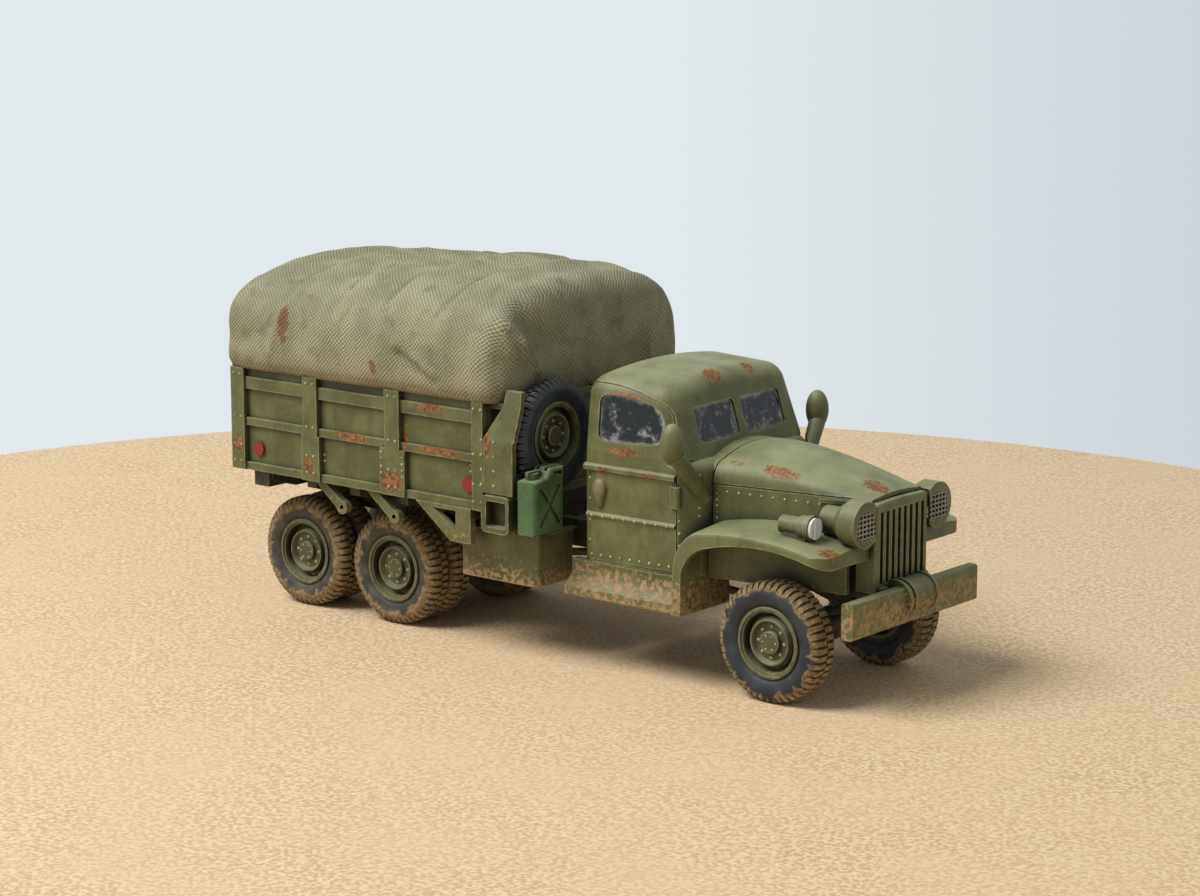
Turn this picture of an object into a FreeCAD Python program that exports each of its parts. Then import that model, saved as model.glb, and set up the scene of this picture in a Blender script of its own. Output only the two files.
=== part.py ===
"""Collector's scale model of a six-wheeled military cargo truck with a canvas-covered bed.

Millimetres.  X runs forward, Y to the driver's left, Z up from the ground.  The origin is on the
ground, midway between the front of the bumper roller and the rear of the canvas cover.
Each function builds one piece, and main() writes every piece to its own STEP file.
"""
import FreeCAD, Part
import math
import os

V = FreeCAD.Vector

# ---- driving dimensions --------------------------------------------------------------------
LENGTH = 106.0            # bumper roller to the rear of the canvas
FRONT = LENGTH / 2
REAR = -LENGTH / 2
SKIN = 1.0                # moulded wall of cab and bonnet
GAP = 0.05                # seam between two glued pieces
DOOR_GAP = 0.12           # visible seam round a door
SEAT = 0.02               # press seat of a tyre on its rim
RUN = 0.05                # radial running clearance of a wheel on its pin

# wheels and axles
WHEEL_R = 8.0
TRACK_OUT = 14.6          # outer sidewall of every wheel, from the centreline
TYRE_W = 4.8              # single front tyre
TWIN_W = 4.1              # each tyre of a rear pair
TWIN_GAP = 0.4
RIM_R = 4.3               # rim barrel
LIP_R = 4.75              # rim lip
PIN_R = 0.8
PIN_SHORT = 1.4           # a pin ends this far inside the outer sidewall
BORE_SHORT = 1.2          # and the blind bore in the rim goes this little deeper
HUB_R = 1.35
DRUM_R = 3.0
FRONT_AXLE_X = 38.7
BOGIE_X = -35.55          # midway between the two rear axles
REAR_AXLE_X = (BOGIE_X + WHEEL_R + 0.75, BOGIE_X - WHEEL_R - 0.75)
DRAWN_R = 8.0             # wheel radius for which the heights of the carried pieces are given
RISE = 2 * (WHEEL_R - DRAWN_R)

# cargo body
BED_REAR = REAR + 0.6
BED_FRONT = -4.4
BED_HALF = 20.4           # outer face of the posts
SIDE_T = 1.5              # post thickness
BED_LOW = 20.4
BED_TOP = 35.2
FLOOR_T = 0.8
CANVAS_HALF = BED_HALF + 0.4
CANVAS_FRONT = -1.7
CANVAS_TOP = 51.2
CANVAS_T = 1.2
CANVAS_CORNER = 9.0
CANVAS_CROWN_R = 60.0
CANVAS_END_R = 4.0

# bonnet and nose
NOSE_X = FRONT - 3.4
GRILLE_T = 0.9
GRILLE_HALF = 6.0
GRILLE_LOW = 14.6
BONNET_LOW = 20.5
BONNET_T = 0.8
SEAM = 0.2                # between the bonnet and the cowl
SLOTS = 8

# chassis
RAIL_IN = 4.0
RAIL_OUT = 5.3
RAIL_LOW = 13.6
RAIL_TOP = 17.4
RAIL_NOSE_TOP = 15.3      # the rails are lower where they pass under the grille
RAIL_NOSE_X = NOSE_X - 3.6
RAIL_REAR = BED_REAR + 2.9
BUMPER_BACK = FRONT - 2.7
BUMPER_T = 1.7
BUMPER_HALF = 14.5
BUMPER_LOW = 10.4
BUMPER_TOP = 15.2
ROLLER_R = 2.6
ROLLER_Z = 13.4

# cab
CAB_REAR = 7.4
CAB_HALF_REAR = 14.8
CAB_HALF_FRONT = 14.1
CAB_LOW = 14.6
BELT_Z = 29.8             # where the upright lower cab meets the leaning upper cab
ROOF_RISE = 11.0          # belt to the highest point of the roof
CAB_TOP = BELT_Z + ROOF_RISE
ROOF_X = 6.0              # where the roof is highest
ROOF_FALL = 0.04          # forward fall of the roof per millimetre
ROOF_CROSS_R = 80.0       # curve of the roof from side to side
DOOR_REAR = 8.8
DOOR_FRONT = 23.7
DOOR_LOW = 15.0
COWL_FRONT = 26.4
COWL_REAR = 18.0          # the cowl block starts here, inside the cabin
COWL_SWEEP = (25.75, 12.3)    # middle of the sweep towards the bonnet: x, y
COWL_ROUND = 2.0
SCREEN_SLOPE = 0.32       # how far the windscreen leans back per millimetre of height
SCREEN_FOOT_X = 24.8      # at the belt
REAR_LEAN = 0.01          # lean of the upper cab walls per millimetre of height
SIDE_LEAN = 0.09
PILLAR_LEAN = 0.13
CAB_ROUND = 3.2           # rounding of roof edges, pillars and rear corners
SCREEN_HALF = 9.45
PILLAR_HALF = 0.7
SCREEN_LOW = BELT_Z + 1.8
SCREEN_TOP = CAB_TOP - 4.5

# fenders and running boards
FENDER_OUT = 16.3
FENDER_T = 0.9
FENDER_IN = 5.6
FENDER_REAR = 24.6
FENDER_TIP = NOSE_X - 1.0
FENDER_TURN = 2.5         # rounding of the tip in plan
ARCH_REAR = 26.1
BOARD_LOW = 9.9
BOARD_TOP = 11.4
BOARD_REAR = 6.5

# lamps
LAMP_Y = 8.3
LAMP_Z = 24.0
LAMP_R = 3.05
LAMP_X = NOSE_X + 0.1     # front rim of the cup
LENS_Z = 23.9
LENS_H = 3.6
LENS_TOP_W = 3.7
LENS_FOOT_W = 4.3
MARKER_Y = 12.26
MARKER_Z = 23.55

# spare wheel, can and tanks
SPARE_R = 7.7
SPARE_W = 3.1
SPARE_Y = -(BED_HALF - 9.1)
SPARE_Z = 30.1
TANK_OUT = BED_HALF - 3.4
TANK_IN = 9.5
TANK_LOW = 10.2
TANK_TOP = 17.2
TANK_REAR = -11.6
TANK_FRONT = 2.3
CAN_X = CANVAS_FRONT + 0.15 + SPARE_W + 0.05
CAN_LONG = 3.3
CAN_FOOT = 18.2


# ---- small builders --------------------------------------------------------------------------
def box(x0, x1, y0, y1, z0, z1):
    return Part.makeBox(x1 - x0, y1 - y0, z1 - z0, V(x0, y0, z0))


def rod(start, end, radius):
    start, end = V(*start), V(*end)
    return Part.makeCylinder(radius, (end - start).Length, start, end - start)


def cone(start, end, r0, r1):
    start, end = V(*start), V(*end)
    return Part.makeCone(r0, r1, (end - start).Length, start, end - start)


def path(points):
    """Edges through points; a point tagged 'arc' is the middle of an arc to the next one."""
    edges = []
    i = 0
    while i < len(points) - 1:
        here = points[i][0]
        if points[i + 1][1] == "arc":
            edges.append(Part.Arc(here, points[i + 1][0], points[i + 2][0]).toShape())
            i += 2
        else:
            edges.append(Part.LineSegment(here, points[i + 1][0]).toShape())
            i += 1
    return edges


def face_of(points, place):
    """A closed face; points are (a, b) or (a, b, 'arc'), and place(a, b) gives the 3-D point."""
    tagged = [(place(p[0], p[1]), "arc" if len(p) > 2 else "") for p in points]
    tagged.append(tagged[0])
    return Part.Face(Part.Wire(path(tagged)))


def prism_y(points, y0, y1):
    return face_of(points, lambda a, b: V(a, y0, b)).extrude(V(0, y1 - y0, 0))


def prism_x(points, x0, x1):
    return face_of(points, lambda a, b: V(x0, a, b)).extrude(V(x1 - x0, 0, 0))


def prism_z(points, z0, z1):
    return face_of(points, lambda a, b: V(a, b, z0)).extrude(V(0, 0, z1 - z0))


def turned_y(points):
    """Revolve (radius, y) points about the Y axis."""
    return face_of(points, lambda a, b: V(a, b, 0)).revolve(V(0, 0, 0), V(0, 1, 0), 360)


def mirrored(shape):
    return shape.mirror(V(0, 0, 0), V(0, 1, 0))


def moved(shape, x=0.0, y=0.0, z=0.0):
    copy = shape.copy()
    copy.translate(V(x, y, z))
    return copy


def joined(shapes):
    first = shapes[0]
    return first.multiFuse(shapes[1:]).removeSplitter() if len(shapes) > 1 else first


def loft(wires, ruled=False):
    return Part.makeLoft(wires, True, ruled)


# ---- wheels ----------------------------------------------------------------------------------
def ring(radius, half, centre, axis):
    """Closed ring of hexagonal section, for hoops too thin to need a round one."""
    corners = [(radius + half, 0), (radius + half / 2, 0.87 * half), (radius - half / 2, 0.87 * half),
               (radius - half, 0), (radius - half / 2, -0.87 * half), (radius + half / 2, -0.87 * half)]
    hoop = face_of(corners, lambda a, b: V(a, 0, b)).revolve(V(0, 0, 0), V(0, 0, 1), 360)
    hoop.Placement = FreeCAD.Placement(centre, FreeCAD.Rotation(V(0, 0, 1), axis))
    return hoop


def tyre(width, radius, bore):
    """One tyre, from y=0 inboard to y=width outboard: bead steps, bulged sidewalls, flat tread."""
    half = [(bore, 0.65), (LIP_R + 0.1, 0.65), (LIP_R + 0.6, 0.12), (radius - 1.9, 0), (radius - 1.0, 0.1),
            (radius - 0.35, 0.55), (radius, 1.15)]
    other = [(r, width - y) for r, y in reversed(half)]
    return turned_y(half + other)


def rim(span, valley, shoulder, hub):
    """Rim for tyres filling y=0..span: stepped lip, dark valley, raised ring, stud floor and cap."""
    inner = RIM_R - 0.45
    top = span - 0.28
    under = top - valley - 0.4
    bore = span - BORE_SHORT
    points = [(RIM_R, 0.63), (RIM_R, top - 0.35), (LIP_R, top - 0.35), (LIP_R, top - 0.08),
              (LIP_R - 0.12, top), (RIM_R + 0.05, top), (RIM_R, top - 0.25), (RIM_R - 0.25, top - 0.25),
              (inner, top - valley), (shoulder + 0.1, top - valley), (shoulder, top - 1.0),
              (3.0, top - 0.4), (2.85, top - 0.4), (2.45, top - 1.0), (hub, top - 1.0), (hub, top - 0.5),
              (hub - 0.12, top - 0.4), (0, top - 0.4), (0, bore), (PIN_R + RUN, bore),
              (PIN_R + RUN, 1.0), (HUB_R, 1.0), (HUB_R, under), (inner, under), (inner, 0.63)]
    return turned_y(points)


def place_wheel(shape, side, axle_x, y_in):
    """side is +1 on the left and -1 on the right."""
    put = moved(shape, axle_x, y_in, WHEEL_R)
    return put if side > 0 else mirrored(put)


def front_wheel(side):
    y_in = TRACK_OUT - TYRE_W
    rubber = tyre(TYRE_W, WHEEL_R, RIM_R + SEAT)
    metal = rim(TYRE_W, 1.7, 3.5, 1.5)
    return place_wheel(rubber, side, FRONT_AXLE_X, y_in), place_wheel(metal, side, FRONT_AXLE_X, y_in)


def twin_wheel(side, axle_x):
    span = 2 * TWIN_W + TWIN_GAP
    y_in = TRACK_OUT - span
    one = tyre(TWIN_W, WHEEL_R, RIM_R + SEAT)
    rubber = Part.makeCompound([one, moved(one, y=TWIN_W + TWIN_GAP)])
    metal = rim(span, 1.7, 3.2, 1.4)
    return place_wheel(rubber, side, axle_x, y_in), place_wheel(metal, side, axle_x, y_in)


# ---- axles, springs and chassis ---------------------------------------------------------------
def axle(axle_x, wheel_span, housing_y):
    """Beam with brake drums, a differential housing and the pins that the wheels turn on."""
    wheel_in = TRACK_OUT - wheel_span
    drum_face = wheel_in + 0.7
    pin_end = TRACK_OUT - PIN_SHORT
    beam = rod((axle_x, -drum_face, WHEEL_R), (axle_x, drum_face, WHEEL_R), 0.95)
    pins = rod((axle_x, -pin_end, WHEEL_R), (axle_x, pin_end, WHEEL_R), PIN_R)
    drums = [rod((axle_x, s * (wheel_in - 0.6), WHEEL_R), (axle_x, s * drum_face, WHEEL_R), DRUM_R)
             for s in (-1, 1)]
    bowl = Part.makeSphere(2.3, V(axle_x, housing_y, WHEEL_R))
    return joined([beam, pins, bowl] + drums)


def leaf(x_mid, half, z_end, z_mid, y0, y1, thick):
    """One curved leaf: an arc through its ends and middle, extruded across the rail."""
    points = [(x_mid - half, z_end), (x_mid, z_mid, "arc"), (x_mid + half, z_end),
              (x_mid + half, z_end + thick), (x_mid, z_mid + thick, "arc"),
              (x_mid - half, z_end + thick)]
    return prism_y(points, y0, y1)


def front_springs():
    """A leaf pack under each rail, clamped on the front axle by a saddle."""
    packs = []
    seat_z = WHEEL_R + 0.95
    end_z = RAIL_LOW + RISE - 0.75 - 0.45
    for s in (-1, 1):
        y0, y1 = sorted((s * RAIL_IN, s * RAIL_OUT))
        main_leaf = leaf(FRONT_AXLE_X, 9.0, end_z, seat_z + 0.9, y0, y1, 0.45)
        short_z = seat_z + 0.45 + 0.52 * (end_z - seat_z - 0.9)
        short_leaf = leaf(FRONT_AXLE_X, 6.4, short_z, seat_z + 0.45, y0, y1, 0.47)
        saddle = box(FRONT_AXLE_X - 1.2, FRONT_AXLE_X + 1.2, y0, y1, seat_z, seat_z + 0.6)
        packs.append(joined([main_leaf, short_leaf, saddle]))
    return Part.makeCompound(packs)


def rear_springs():
    """An upturned leaf pack each side, hung at its middle, its ends lying on both rear axles."""
    half = abs(REAR_AXLE_X[0] - REAR_AXLE_X[1]) / 2
    foot = WHEEL_R + 0.95
    packs = []
    for s in (-1, 1):
        y0, y1 = sorted((s * RAIL_IN, s * RAIL_OUT))
        main_leaf = leaf(BOGIE_X, half + 0.8, foot, foot + 2.4, y0, y1, 0.5)
        short_leaf = leaf(BOGIE_X, half * 0.66, foot + 1.75, foot + 2.88, y0, y1, 0.5)
        pivot = box(BOGIE_X - 1.8, BOGIE_X + 1.8, y0, y1, foot + 2.6, RAIL_LOW + RISE)
        packs.append(joined([main_leaf, short_leaf, pivot]))
    return Part.makeCompound(packs)


# each cross member: middle x, low z, high z; the raised ones clear the gearbox and its shafts
CROSS_MEMBERS = ((RAIL_REAR + 1.0, 14.1, 17.0), (BOGIE_X, 14.1, 17.0), (-16.0, 14.1, 17.0),
                 (-2.0, 14.1, 17.0), (3.5, 16.0, 17.0), (14.0, 15.6, 17.0), (43.5, 14.1, 16.5),
                 (NOSE_X - 2.9, 14.1, 15.2))


def chassis_frame():
    """Two channel rails with cross members, spring hangers and tank hangers."""
    pieces = []
    for s in (-1, 1):
        y0, y1 = sorted((s * RAIL_IN, s * RAIL_OUT))
        rail = box(RAIL_REAR, RAIL_NOSE_X, y0, y1, RAIL_LOW, RAIL_TOP)
        c0, c1 = sorted((s * (RAIL_IN - 0.01), s * (RAIL_OUT - 0.5)))
        rail = rail.cut(box(RAIL_REAR + 1, RAIL_NOSE_X - 1, c0, c1, RAIL_LOW + 0.5, RAIL_TOP - 0.5))
        pieces.append(rail)
        pieces.append(box(RAIL_NOSE_X, BUMPER_BACK, y0, y1, RAIL_LOW, RAIL_NOSE_TOP))
        for x in (FRONT_AXLE_X - 8.6, FRONT_AXLE_X + 8.6):
            pieces.append(box(x - 0.7, x + 0.7, y0, y1, RAIL_LOW - 0.75, RAIL_LOW))
        h0, h1 = sorted((s * RAIL_OUT, s * TANK_IN))
        for x in (TANK_REAR + 3.0, TANK_FRONT - 3.0):
            pieces.append(box(x - 0.8, x + 0.8, h0, h1, 14.4, 16.4))
    half = RAIL_OUT - 0.5
    for x, low, high in CROSS_MEMBERS:
        pieces.append(box(x - 0.9, x + 0.9, -half, half, low, high))
    return joined(pieces)


def front_bumper():
    """Heavy bar with a flanged roller fairlead, a little off its middle."""
    bar = box(BUMPER_BACK, BUMPER_BACK + BUMPER_T, -BUMPER_HALF, BUMPER_HALF, BUMPER_LOW, BUMPER_TOP)
    bar = bar.makeFillet(0.4, [e for e in bar.Edges if e.Length > 20])
    x = FRONT - ROLLER_R
    reach = RAIL_IN - 0.1
    roller = rod((x, -2.6, ROLLER_Z), (x, reach, ROLLER_Z), ROLLER_R - 0.25)
    flanges = [rod((x, y, ROLLER_Z), (x, y + 0.5, ROLLER_Z), ROLLER_R) for y in (-2.6, -1.5, reach - 0.5)]
    whole = joined([bar, roller] + flanges)
    return whole.cut(box(NOSE_X - GRILLE_T - 1, NOSE_X + GAP, -9, 9, GRILLE_LOW - GAP, 20))


def tow_hook():
    """Pintle under the rear cross member."""
    plate = box(RAIL_REAR - 0.5, RAIL_REAR, -1.6, 1.6, 14.2, 16.8)
    shank = rod((RAIL_REAR - 0.5, 0, 15.5), (RAIL_REAR - 1.4, 0, 15.5), 0.5)
    eye = ring(0.75, 0.35, V(RAIL_REAR - 2.1, 0, 15.5), V(0, 1, 0))
    return joined([plate, shank, eye])


def engine_block():
    """Plain stand-in for the engine between the rails."""
    body = box(31.0, 45.6, -3.4, 3.4, 16.5, 24.5)
    sump = box(32.5, 41.0, -2.4, 2.4, 12.4, 16.5)
    return joined([body, sump])


def transmission():
    """Gearbox, transfer case and the propeller shafts to the three axles, at their real height."""
    up = RISE
    gearbox = box(20.5, 31.0, -2.0, 2.0, 13.9 + up, 17.2 + up)
    case = box(1.0, 6.0, -2.6, 2.6, 10.6 + up, 16.0 + up)
    link = rod((6.0, 0, 14.6 + up), (20.5, 0, 14.6 + up), 0.6)
    fore = rod((6.0, 0, 11.6 + up), (FRONT_AXLE_X - 2.35, 0, WHEEL_R + 0.3), 0.55)
    aft = rod((1.0, 0, 12.0 + up), (REAR_AXLE_X[0] + 2.35, 0, WHEEL_R + 0.5), 0.55)
    last = rod((REAR_AXLE_X[0] - 2.35, 0, WHEEL_R), (REAR_AXLE_X[1] + 2.35, 0, WHEEL_R), 0.55)
    return Part.makeCompound([joined([gearbox, case, link, fore, aft]), last])


# ---- cargo body --------------------------------------------------------------------------------
# each post: middle x, width above the middle rail, width below it
POSTS = ((BED_REAR + 1.3, 2.6, 2.6), (-36.7, 2.7, 3.5), (-21.0, 2.7, 4.6), (BED_FRONT - 0.95, 1.9, 1.9))
# each rail: low z, high z
RAILS = ((BED_LOW, 21.5), (26.9, 28.0), (32.2, 33.9))


MID_RAIL = RAILS[1][0]


def side_panel(side):
    """One moulded side: recessed panels behind four posts and three rails."""
    inner = BED_HALF - SIDE_T
    pieces = [box(BED_REAR, BED_FRONT, inner, BED_HALF - 0.85, BED_LOW, BED_TOP)]
    for x, upper, lower in POSTS:
        pieces.append(box(x - upper / 2, x + upper / 2, inner, BED_HALF, BED_LOW, BED_TOP))
        pieces.append(box(x - lower / 2, x + lower / 2, inner, BED_HALF, BED_LOW, MID_RAIL))
    for low, high in RAILS:
        pieces.append(box(BED_REAR, BED_FRONT, inner, BED_HALF - 0.35, low, high))
    panel = joined(pieces)
    return panel if side > 0 else mirrored(panel)


def end_panel(x_in, x_out):
    """Front wall or tailgate between the sides, ribbed like them on its outer face."""
    half = BED_HALF - SIDE_T
    out = 1 if x_out > x_in else -1
    skin = x_in + out * 0.7
    rib = x_out - out * 0.2
    pieces = [box(min(x_in, skin), max(x_in, skin), -half, half, BED_LOW, BED_TOP)]
    for y in (-half + 1.2, -half / 3, half / 3, half - 1.2):
        pieces.append(box(min(x_in, x_out), max(x_in, x_out), y - 1.2, y + 1.2, BED_LOW, BED_TOP))
    for low, high in RAILS:
        pieces.append(box(min(x_in, rib), max(x_in, rib), -half, half, low, high))
    return joined(pieces)


def front_wall():
    """Front wall of the body, with the capping board that the front of the cover stands on."""
    half = BED_HALF - SIDE_T
    board = box(BED_FRONT - 0.5, CANVAS_FRONT - 0.2, -half, half, BED_TOP - 0.8, BED_TOP)
    return joined([end_panel(BED_FRONT - SIDE_T, BED_FRONT), board, spare_carrier()])


def bed_floor():
    """Floor with the cross sills that carry it on the rails, and the block of the rear sill."""
    half = BED_HALF - SIDE_T
    out = BED_HALF - 2.2
    pieces = [box(BED_REAR + SIDE_T, BED_FRONT - SIDE_T, -half, half, BED_LOW, BED_LOW + FLOOR_T)]
    for x in (BED_REAR + 5.0, -38.6, -30.2, -21.0, -14.2, -8.4):
        tapered = [(-out, BED_LOW), (-out, BED_LOW - 1.6), (4.7 - out, RAIL_TOP), (out - 4.7, RAIL_TOP),
                   (out, BED_LOW - 1.6), (out, BED_LOW)]
        pieces.append(prism_x(tapered, x - 0.9, x + 0.9))
    for s in (-1, 1):
        y0, y1 = sorted((s * (out - 4.2), s * (out + 0.4)))
        pieces.append(box(BED_REAR + 2.7, BED_REAR + 5.6, y0, y1, BED_LOW - 2.5, BED_LOW))
    return joined(pieces)


def arch_outline(inset):
    """Cross-section of the cover: upright sides, round shoulders and a long low crown, all tangent."""
    half = CANVAS_HALF - inset
    corner = CANVAS_CORNER - inset
    crown_z = CANVAS_TOP - CANVAS_CROWN_R
    crown_r = CANVAS_CROWN_R - inset
    reach = CANVAS_CROWN_R - CANVAS_CORNER
    centre_y = half - corner
    centre_z = crown_z + math.sqrt(reach ** 2 - centre_y ** 2)
    turn = math.atan2(centre_z - crown_z, centre_y)
    join_y, join_z = crown_r * math.cos(turn), crown_z + crown_r * math.sin(turn)
    mid_y = centre_y + corner * math.cos(turn / 2)
    mid_z = centre_z + corner * math.sin(turn / 2)
    return [(-half, BED_TOP), (-half, centre_z), (-mid_y, mid_z, "arc"), (-join_y, join_z),
            (0, CANVAS_TOP - inset, "arc"), (join_y, join_z), (mid_y, mid_z, "arc"), (half, centre_z),
            (half, BED_TOP)]


def canvas_solid(inset):
    """The cover as a filled loaf with rounded ends, inset all over."""
    outline = arch_outline(inset)
    x0 = -LENGTH / 2 + inset
    x1 = CANVAS_FRONT - inset
    loaf = prism_x(outline, x0, x1)
    rim_edges = [e for e in loaf.Edges
                 if abs(e.BoundBox.XLength) < 1e-6 and e.BoundBox.ZMax > BED_TOP + 1e-3]
    return loaf.makeFillet(CANVAS_END_R - inset, rim_edges)


def canvas_cover():
    """Hollow cover standing on the tops of the sides, front wall and tailgate."""
    return canvas_solid(0.0).cut(canvas_solid(CANVAS_T))


def hanger(x):
    """Slanting hanger with a round drilled end."""
    y0, y1 = BED_HALF - 2.1, BED_HALF - 1.0
    foot_z = 17.1
    arm = prism_y([(x, BED_LOW), (x + 2.0, BED_LOW), (x + 6.15, foot_z + 0.3), (x + 4.5, foot_z - 0.3)], y0, y1)
    end = rod((x + 5.3, y0, foot_z), (x + 5.3, y1, foot_z), 0.95)
    return joined([arm, end]).cut(rod((x + 5.3, y0 - 1, foot_z), (x + 5.3, y1 + 1, foot_z), 0.38))


def body_brackets(side):
    """Braced bracket ahead of the wheels and two slanting hangers under the bed edge."""
    out = BED_HALF - 0.1
    brace = prism_y([(-16.7, BED_LOW), (-6.7, BED_LOW), (-6.7, 15.5), (-10.4, 15.5)], out - 1.0, out)
    brace = brace.cut(prism_y([(-13.6, 19.8), (-9.4, 19.8), (-9.4, 16.9)], out - 2, out + 1))
    both = Part.makeCompound([brace, hanger(-37.0), hanger(-27.0)])
    return both if side > 0 else mirrored(both)


def reflectors():
    """Round reflectors on stubs, fore and aft on both sides."""
    face = BED_HALF - 0.85
    places = [(x, s) for x in (BED_REAR + 4.9, BED_FRONT - 3.05) for s in (-1, 1)]
    return Part.makeCompound([rod((x, s * face, 23.6), (x, s * (face + 0.4), 23.6), 1.0) for x, s in places])


def tail_lamps():
    return Part.makeCompound([rod((RAIL_REAR, s * 4.65, 15.5), (RAIL_REAR - 0.9, s * 4.65, 15.5), 0.6)
                              for s in (-1, 1)])


# ---- cab ---------------------------------------------------------------------------------------
def wall_y(x, inset=0.0):
    """Half-width of the cab wall at x; the sides draw in towards the front."""
    run = (x - CAB_REAR) / (SCREEN_FOOT_X - CAB_REAR)
    return CAB_HALF_REAR - inset - (CAB_HALF_REAR - CAB_HALF_FRONT) * run


def cabin_block(inset):
    """Filled cabin with sharp edges: upright below the belt, leaning above it."""
    def ring_at(z):
        lift = max(0.0, z - BELT_Z)
        rear = CAB_REAR + inset + REAR_LEAN * lift
        front = SCREEN_FOOT_X - inset - SCREEN_SLOPE * lift
        wide = wall_y(rear - inset, inset) - SIDE_LEAN * lift
        narrow = wall_y(front, inset) - PILLAR_LEAN * lift
        return Part.makePolygon([V(rear, -wide, z), V(front, -narrow, z), V(front, narrow, z),
                                 V(rear, wide, z), V(rear, -wide, z)])
    low = CAB_LOW if inset <= 0 else CAB_LOW - 1
    block = loft([ring_at(low), ring_at(BELT_Z)], True).fuse(loft([ring_at(BELT_Z), ring_at(CAB_TOP + 1)], True))
    top = CAB_TOP + ROOF_FALL * (ROOF_X + 10.0) - inset
    sag = ROOF_CROSS_R - math.sqrt(ROOF_CROSS_R ** 2 - 900)
    roof = face_of([(-30, 5), (-30, top - sag), (0, top, "arc"), (30, top - sag), (30, 5)],
                   lambda y, z: V(-10, y, z)).extrude(V(60, 0, -60 * ROOF_FALL))
    return block.common(roof).removeSplitter().Solids[0]


def rounded_cabin(inset):
    """Round all upright and roof edges at once."""
    block = cabin_block(inset)
    edges = [e for e in block.Edges if e.BoundBox.ZLength > 3 or e.BoundBox.ZMin > BELT_Z + 4]
    return block.makeFillet(CAB_ROUND - inset, edges)


CABINS = {}


def cabin(inset):
    """Filled cabin, inset all over; each size is made once and kept."""
    if inset not in CABINS:
        CABINS[inset] = rounded_cabin(inset)
    return CABINS[inset]


def cowl_plan(grow):
    """Plan of the cowl: straight from the doors, then swept in by an arc to the bonnet."""
    g = grow
    sweep_x, sweep_y = COWL_SWEEP
    half = [(COWL_REAR, wall_y(COWL_REAR) + g), (DOOR_FRONT, wall_y(DOOR_FRONT) + g),
            (sweep_x + 0.7 * g, sweep_y + 0.7 * g, "arc"), (COWL_FRONT + g, BONNET[0][1])]
    other = [(p[0], -p[1]) + p[2:] for p in reversed(half)]
    return half + other


def cowl():
    """Filled cowl ahead of the doors, with rolled cheeks and the hump that meets the bonnet."""
    block = prism_z(cowl_plan(0.0), CAB_LOW, BELT_Z)
    cheeks = [e for e in block.Edges if e.BoundBox.ZMin > BELT_Z - 0.1
              and e.BoundBox.XMin > DOOR_FRONT - 0.1 and e.BoundBox.YLength < 6]
    block = block.makeFillet(COWL_ROUND, cheeks)
    x, half, seam, top = BONNET[0]
    hump = Part.Face(bonnet_wire(22.0, half, seam, top, BELT_Z - 5)).extrude(V(COWL_FRONT - 22.0, 0, 0))
    return block, hump


def cab_outer():
    """Cabin and cowl as one filled block; the fusion is made once and kept."""
    if not KEPT:
        block, hump = cowl()
        KEPT.append(block.fuse(hump).fuse(cabin(0.0)))
    return KEPT[0]


def clear_of_cab(shape):
    """Cut a neighbouring piece back to the seam gap from the cab walls."""
    return shape.cut(cabin(-GAP)).cut(prism_z(cowl_plan(GAP), CAB_LOW - GAP, BELT_Z + GAP))


KEPT = []


def bonnet_wire(x, half, seam, top, low):
    """Bonnet section at x: upright sides to the seam, then rolled over to a low crown."""
    roll = 0.24 * half
    rise = 0.66 * (top - seam)
    pts = [(-half, low), (-half, seam), (-half + 0.28 * roll, seam + 0.68 * rise, "arc"),
           (-half + roll, seam + rise), (0, top, "arc"), (half - roll, seam + rise),
           (half - 0.28 * roll, seam + 0.68 * rise, "arc"), (half, seam), (half, low)]
    tagged = [(V(x, p[0], p[1]), "arc" if len(p) > 2 else "") for p in pts]
    tagged.append(tagged[0])
    return Part.Wire(path(tagged))


# each section: x, half-width, seam height, crown height
BONNET = ((COWL_FRONT, 9.9, 26.9, 31.1), (34.0, 8.6, 26.7, 31.0), (42.0, 7.2, 26.4, 29.3),
          (NOSE_X - GRILLE_T, 6.1, 26.2, 27.1))


def bonnet_solid(grow, x_back=0.0, x_fore=0.0, low=BONNET_LOW):
    """Filled bonnet, grown outwards by grow; x_back and x_fore move its two ends."""
    wires = []
    for i, (x, half, seam, top) in enumerate(BONNET):
        shift = -x_back if i == 0 else (x_fore if i == len(BONNET) - 1 else 0.0)
        wires.append(bonnet_wire(x + shift, half + grow, seam + 0.4 * grow, top + grow, low))
    return loft(wires)


def bonnet():
    """Bonnet with the seam of its lid along both sides and a short raised strip near the nose."""
    outer = bonnet_solid(0.0, -SEAM, -GAP)
    skin = bonnet_solid(0.1).cut(bonnet_solid(-0.2))
    outer = outer.cut(skin.common(box(COWL_FRONT, NOSE_X - 3.6, -20, 20, 26.6, 26.78)))
    strip = bonnet_solid(0.22).cut(bonnet_solid(-0.3)).common(box(41.7, 46.0, -20, 20, 25.8, 26.35))
    outer = outer.fuse(strip)
    inner = bonnet_solid(-BONNET_T, 1.0, 1.0, BONNET_LOW - 1.0)
    return outer.cut(inner)


def door_outline(grow):
    """Door in side view, grown by grow; the head follows the roof edge and the front the pillar."""
    g = grow
    k = 0.7 * grow
    top = CAB_TOP
    return [(DOOR_REAR - g, DOOR_LOW - g), (DOOR_REAR - g, top - 3.2), (9.05 - k, top - 2.4 + k, "arc"),
            (9.9, top - 2.1 + g), (14.9, top - 2.4 + g, "arc"), (19.6, top - 3.5 + g),
            (21.3 + k, top - 4.35 + k, "arc"), (22.3 + g, top - 6.2), (23.7 + g, BELT_Z - 0.2),
            (DOOR_FRONT + g, BELT_Z - 4.0), (DOOR_FRONT + g, DOOR_LOW - g)]


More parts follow.
